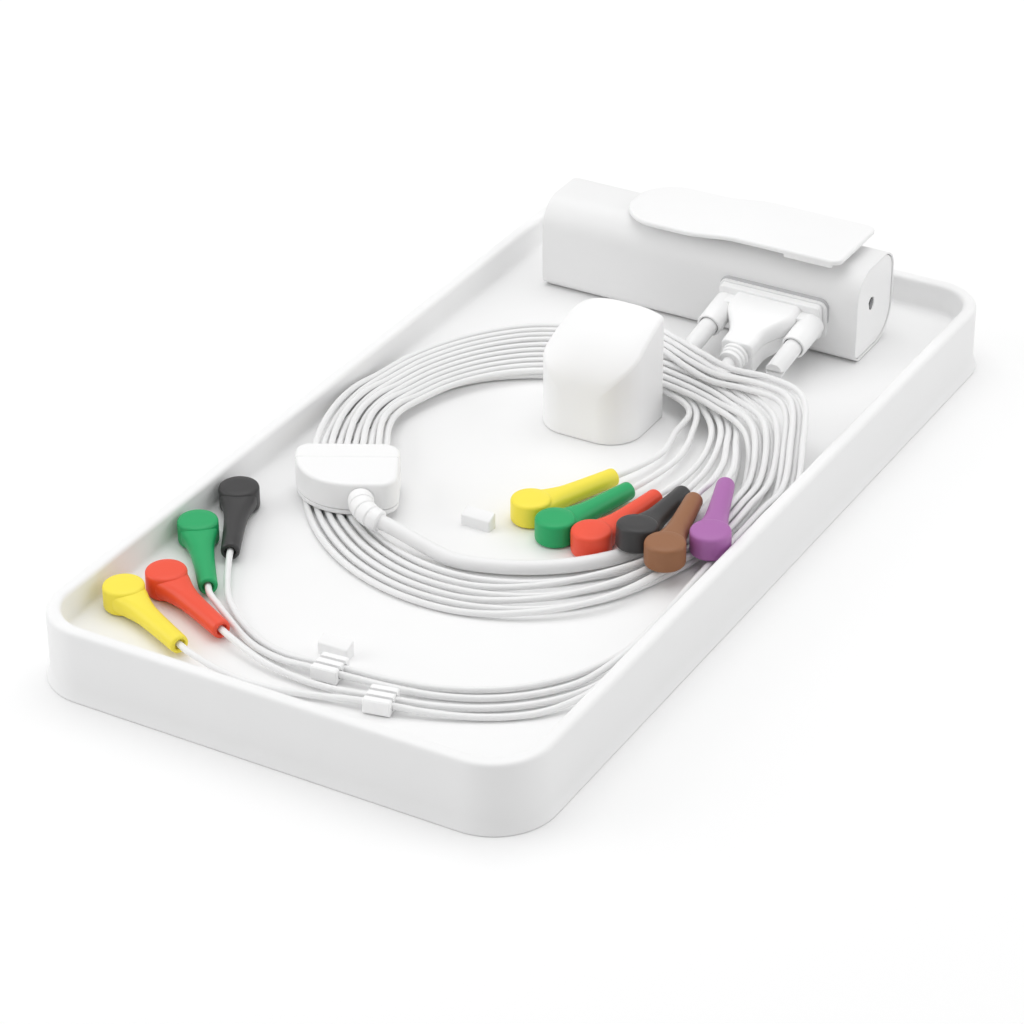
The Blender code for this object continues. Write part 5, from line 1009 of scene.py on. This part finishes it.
# Snaps
# Each lead ends in a coloured plastic housing round a spring contact: a flat drum that presses on an
# electrode's stud, and a round tail, dished at its end, that holds the lead.
SNAP_LENGTH = 35.0 * MM
SNAP_HEAD_RADIUS = 6.8 * MM
SNAP_HEAD_HEIGHT = 8.7 * MM
SNAP_AXIS_HEIGHT = 3.8 * MM
SNAP_COLOURS = {
    "yellow": (0.93, 0.78, 0.065),
    "green": (0.012, 0.38, 0.125),
    "red": (0.86, 0.085, 0.04),
    "black": (0.042, 0.041, 0.042),
    "brown": (0.30, 0.130, 0.058),
    "purple": (0.41, 0.145, 0.41),
}
# Along the body: distance from the head's axis, half width, and the heights of its top and bottom
SNAP_BODY = np.array([
    (1.0, 6.0, 8.0, 0.2), (3.0, 6.05, 8.0, 0.2), (4.5, 5.85, 7.95, 0.2), (6.0, 5.45, 7.85, 0.2),
    (8.0, 4.85, 7.65, 0.2), (10.5, 4.35, 7.45, 0.25), (14.0, 3.92, 7.25, 0.35), (20.0, 3.55, 7.1, 0.5),
    (28.0, 3.3, 7.0, 0.6), (34.0, 3.15, 6.95, 0.65), (34.7, 3.0, 6.8, 0.8), (35.0, 2.6, 6.4, 1.2),
    (35.0, 2.0, 5.8, 1.8), (34.7, 1.8, 5.6, 2.0), (33.5, 1.7, 5.5, 2.1)]) * MM


def snap_body():
    """Rings round the body: a superellipse, boxy at the head and round at the tail. Its point at an
    angle is (half width, half height) times (cos, sin), each to the power 2 / n with its sign."""
    turn = np.linspace(0, TURN, 36, endpoint=False)[None]
    along, wide, top, bottom = (column[:, None] for column in SNAP_BODY.T)
    round_off = np.clip((along - 2 * MM) / (12 * MM), 0, 1)
    power = 2 / (3.4 - 1.4 * round_off)
    cosine, sine = np.cos(turn), np.sin(turn)
    across = wide * np.sign(cosine) * np.abs(cosine) ** power
    height = (top + bottom) / 2 + (top - bottom) / 2 * np.sign(sine) * np.abs(sine) ** power
    return np.stack(np.broadcast_arrays(along, across, height), axis=-1)


def snap_head():
    """A drum with soft edges and a faintly domed top."""
    radius, top = SNAP_HEAD_RADIUS, SNAP_HEAD_HEIGHT
    profile = [(0, 0), (radius, 0), (radius, top - 0.5 * MM), (radius * 0.6, top), (0, top)]
    return turned(soften(profile, 1.2 * MM, 8), 56)


def snap_frame(x, y, heading, head_base, tail_base):
    """The snap's place: its origin under the head, x towards the tail."""
    pitch = math.asin((tail_base - head_base) * MM / SNAP_LENGTH)
    turned_in = Matrix.Rotation(math.radians(heading), 4, "Z") @ Matrix.Rotation(-pitch, 4, "Y")
    return Matrix.Translation((x * MM, y * MM, head_base * MM)) @ turned_in


snap_finishes = {colour: moulded(f"snap_{colour}", tone, 0.42, grain_size=0.4 * MM, grain_depth=0.010 * MM,
                                 mottle=0.05) for colour, tone in SNAP_COLOURS.items()}

# Leads
# Ten white leads, 2.2 mm thick. They fan out of the yoke's back, wind round the post clockwise on
# two layers, and leave the coil: six to the snaps before the post, four along the right wall and
# through the lead clips to the snaps in the near left corner.
LEAD_LAYER = 2.6 * MM
LEAD_REST = TRAY_FLOOR_TOP + GAP + LEAD_DIAMETER / 2
TURN_POINTS = 24
RING_CENTRE = (-2.0 * MM, 0.0)
RING_TILT = math.radians(108)
RING_INNER = (60.5 * MM, 56.0 * MM)
RING_OUTER = (96.0 * MM, 77.0 * MM)
LIFT_INNER = 5.5 * MM
LIFT_RISE = 4.5 * MM
FAN_START_REACH = 16.0 * MM
FAN_END_REACH = 18.0 * MM
FAN_STAGGER = 2.1 * MM
FAN_POINTS = 5
TAIL_SPACING = 8.0 * MM
CHEST_LEADS = 6
# Stations round the coil: degrees, first lane and lane step as shares of the ring's width, leads on
# each step, layer of the even and odd leads, how far they are lifted over the trunk cable, and how
# much that lift grows outwards.
CHEST_STATIONS = np.array((
    (165, 0.03, 0.11, 1, 1, 1, 0, 1),
    (110, 0.03, 0.11, 1, 1, 1, 0, 1),
    (72, 0.03, 0.11, 1, 1, 1, 1, 1),
    (52, 0.24, 0.11, 1, 1, 1, 1, 1),
    (35, 0.62, 0.092, 1, 0, 1, 0.95, 1),
    (17, 0.66, 0.08, 1, 0, 1, 0, 1),
    (5, 0.66, 0.135, 2, 0, 1, 0, 1),
    (-28, 0.56, 0.14, 2, 0, 1, 0, 1),
    (-50, 0.44, 0.11, 1, 0, 1, 0, 1),
    (-75, 0.44, 0.112, 1, 0, 0, 0, 1),
    (-131, 0.40, 0.13, 1, 0, 0, 0, 1),
    (-180, 0.26, 0.13, 1, 0, 0, 0, 1),
    (-250, 0.05, 0.115, 1, 0, 0, 0, 0.15),
    (-288, 0.03, 0.10, 1, 0, 0, 1, 0.15),
    (-306, -0.05, 0.122, 1, 0, 0, 1, 0.15),
))
LIMB_STATIONS = np.array((
    (165, 0.69, 0.105, 1, 1, 1, 0, 1),
    (135, 0.69, 0.105, 1, 1, 1, 0, 1),
    (110, 0.71, 0.10, 1, 1, 1, 0, 1),
    (98, 0.71, 0.10, 1, 2, 2, 0.24, 1),
    (84, 0.46, 0.09, 1, 2, 2, 0.76, 1),
    (72, 0.34, 0.10, 1, 2, 2.1, 1, 1),
    (60, 0.42, 0.105, 1, 2, 2.4, 1, 1),
    (50, 0.76, 0.11, 1, 2, 2.6, 1, 1),
    (39, 1.19, 0.10, 1, 2, 2.6, 0.95, 1),
    (25, 1.22, 0.10, 1, 1, 2, 0.42, 1),
    (14, 1.19, 0.10, 1, 0, 1, 0, 1),
    (5, 1.15, 0.125, 2, 0, 1, 0, 1),
    (-12, 1.09, 0.125, 2, 0, 1, 0, 1),
    (-25, 1.19, 0.125, 2, 0, 1, 0, 1),
))
# Each lead from the inside of the fan outwards: its snap's head place, heading in degrees and the
# heights of the snap's head and tail, then the free run from the coil to the snap, in millimetres
LEAD_ROUTES = {
    "chest_yellow": ((12.1, -31.4, 66.5, 14.3, 14.3), (
        (30.4, 37, 18.4), (32.4, 25, 17.8), (30.6, 13.5, 17.9))),
    "chest_green": ((25.1, -38.3, 74.3, 14.3, 14.3), (
        (36.4, 37, 18.8), (38.8, 24, 17.9), (37.9, 10.5, 18.0))),
    "chest_red": ((39.0, -39.2, 80.5, 14.3, 14.6), (
        (42.6, 40, 20.0), (46.4, 26, 18.4), (47.0, 11, 18.3))),
    "chest_black": ((54.2, -37.0, 91.6, 19.7, 16.9), (
        (45.0, 42, 21.2), (49.2, 31.6, 20.4), (52.2, 17, 19.6))),
    "chest_brown": ((67.3, -42.2, 101.5, 19.8, 19.8), (
        (47.4, 43.2, 20.9), (51.8, 32.8, 21.4), (57.4, 18.8, 22.8), (59.9, 5.4, 23.4))),
    "chest_purple": ((76.6, -28.4, 108.5, 19.7, 20.6), (
        (49.8, 44.4, 21.0), (54.4, 34.6, 21.4), (59.4, 24.0, 22.6), (63.2, 14.0, 24.0))),
    "limb_black": ((-76.2, -71.6, -61.5, 14.3, 14.3), (
        (79.7, -58, 15.4), (79.3, -75, 15.4), (76.4, -92, 15.4), (70.2, -107, 15.4),
        (60.6, -119.5, 15.4), (48.6, -128.5, 15.4), (35, -134.5, 15.5), (20, -138.4, 16.2),
        (8.6, -140.3, 16.8), (-1.4, -141.2, 16.8), (-13, -140.9, 15.8), (-25, -137.6, 15.4),
        (-37, -131, 15.6), (-47.5, -121.8, 16.6))),
    "limb_green": ((-76.0, -96.2, -50.8, 14.3, 14.3), (
        (79.7, -58, 18.0), (80.0, -75, 18.0), (79.2, -93, 17.6), (74.0, -109.8, 15.8),
        (63.6, -123.2, 15.4), (50.9, -132.6, 15.4), (36.5, -138.4, 15.5), (21, -141.9, 16.2),
        (8.9, -143.7, 16.8), (-1.1, -144.6, 16.8), (-13, -144.4, 15.9), (-25.5, -141.2, 15.6),
        (-36.5, -135.6, 16.6))),
    "limb_red": ((-67.4, -126.8, -26.0, 14.3, 14.3), (
        (82.4, -58, 15.4), (82.4, -75, 15.4), (81.6, -95.5, 15.4), (76.9, -113.2, 15.4),
        (67.2, -127.0, 15.4), (54, -137, 15.4), (41, -143.6, 16.0), (31, -147.2, 16.8),
        (21.4, -149.1, 16.8), (9, -150.4, 15.8), (-4, -150.4, 15.8), (-17, -148.9, 16.6))),
    "limb_yellow": ((-74.2, -140.6, -25.4, 14.3, 14.3), (
        (82.5, -58, 18.0), (82.6, -75, 18.0), (82.5, -95.5, 18.0), (79.9, -115.4, 16.9),
        (70.4, -131.0, 15.5), (56, -141.3, 15.4), (42, -147.4, 16.0), (31.7, -150.5, 16.8),
        (22.1, -152.5, 16.8), (10, -155, 15.8), (-4, -158.4, 15.6), (-16, -160.6, 16.4),
        (-26, -160.3, 17.4))),
}


def ring_radius(angle, half_axes):
    """An ellipse's radius at an angle: a b / length of (b cos, a sin), turned by the ring's tilt."""
    along, across = half_axes
    turn = angle - RING_TILT
    return along * across / np.hypot(across * np.cos(turn), along * np.sin(turn))


def coil_line(stations, index):
    """A lead's way round the coil. Between two stations each value eases over as 3 t^2 - 2 t^3."""
    degrees = stations[:, 0]
    lane = stations[:, 1] + stations[:, 2] * (index // stations[:, 3])
    layer = stations[:, 5] if index % 2 else stations[:, 4]
    values = np.stack([lane, layer, stations[:, 6], stations[:, 7]], axis=1)
    steps = np.maximum(1, np.round(-np.diff(degrees) * TURN_POINTS / 360)).astype(int)
    leg = np.append(np.repeat(np.arange(len(steps)), steps), len(steps) - 1)
    share = np.append(np.concatenate([np.arange(count) / count for count in steps]), 1.0)
    ease = (share * share * (3 - 2 * share))[:, None]
    lane, layer, lift, growth = (values[leg] + (values[leg + 1] - values[leg]) * ease).T
    angle = np.radians(degrees[leg] + (degrees[leg + 1] - degrees[leg]) * share)
    inner = ring_radius(angle, RING_INNER)
    radius = inner + (ring_radius(angle, RING_OUTER) - inner) * lane
    hump = lift * (LIFT_INNER + LIFT_RISE * growth * np.maximum(lane, 0))
    return np.stack([RING_CENTRE[0] + radius * np.cos(angle), RING_CENTRE[1] + radius * np.sin(angle),
                     LEAD_REST + LEAD_LAYER * layer + hump], axis=1)


def fan_line(index, coil):
    """From the lead's collar to its lane: a cubic curve with a pull along the yoke's heading and one
    along the coil. Every other lead rises a little on the way."""
    heading = np.array(YOKE_FRAME.to_3x3())[:, 1]
    exit_point = placed(np.array([collar_places[index], YOKE_BACK + GAP, YOKE_HEIGHT / 2]), YOKE_FRAME)
    straight = exit_point + heading * LEAD_DIAMETER
    stagger = np.array([0, 0, FAN_STAGGER if index % 2 else 0])
    along = coil[1] - coil[0]
    along /= np.linalg.norm(along)
    share = (np.arange(1, FAN_POINTS + 1) / (FAN_POINTS + 1))[:, None]
    rest = 1 - share
    pull_out = straight + heading * FAN_START_REACH + stagger
    pull_in = coil[0] - along * FAN_END_REACH + stagger
    middle = (straight * rest ** 3 + pull_out * (3 * rest ** 2 * share)
              + pull_in * (3 * rest * share ** 2) + coil[0] * share ** 3)
    return np.vstack([exit_point - heading * 2.0 * MM, exit_point, straight, middle])


def lead_line(index, place, free_run):
    """The whole lead: fan, coil and free run to its snap's tail, and on into the tail's dish."""
    chest = index < CHEST_LEADS
    coil = coil_line(CHEST_STATIONS if chest else LIMB_STATIONS, index if chest else index - CHEST_LEADS)
    reaches = SNAP_LENGTH + GAP + np.array([LEAD_DIAMETER, 0, -1.5 * MM])
    ends = placed(np.stack([reaches, reaches * 0, reaches * 0 + SNAP_AXIS_HEIGHT], axis=1), place)
    tail = knotted_route(np.vstack([coil[-2:], np.array(free_run) * MM, ends[:2]]), TAIL_SPACING)
    joined = np.argmin(np.linalg.norm(tail - coil[-1], axis=1))
    return np.vstack([fan_line(index, coil), coil[:-1], tail[joined:], ends[2:]])


lead_white = jacket_finish("lead_white", 0.87, 0.36, 34.0)
for index, (lead_name, (snap_values, free_run)) in enumerate(LEAD_ROUTES.items()):
    colour = lead_name.split("_")[1]
    place = snap_frame(*snap_values)
    snap = make(f"snap_housing_{lead_name}", [snap_head(), snap_body()], f"snap_{colour}",
                snap_finishes[colour], [f"snap_{lead_name}"], at=place, sharp=50)
    lay_cable(f"lead_line_{lead_name}", f"lead_{lead_name}", fine_line(lead_line(index, place, free_run)),
              LEAD_DIAMETER, lead_white, 16, far_end="connector", lay="coiled", with_pieces=[snap])
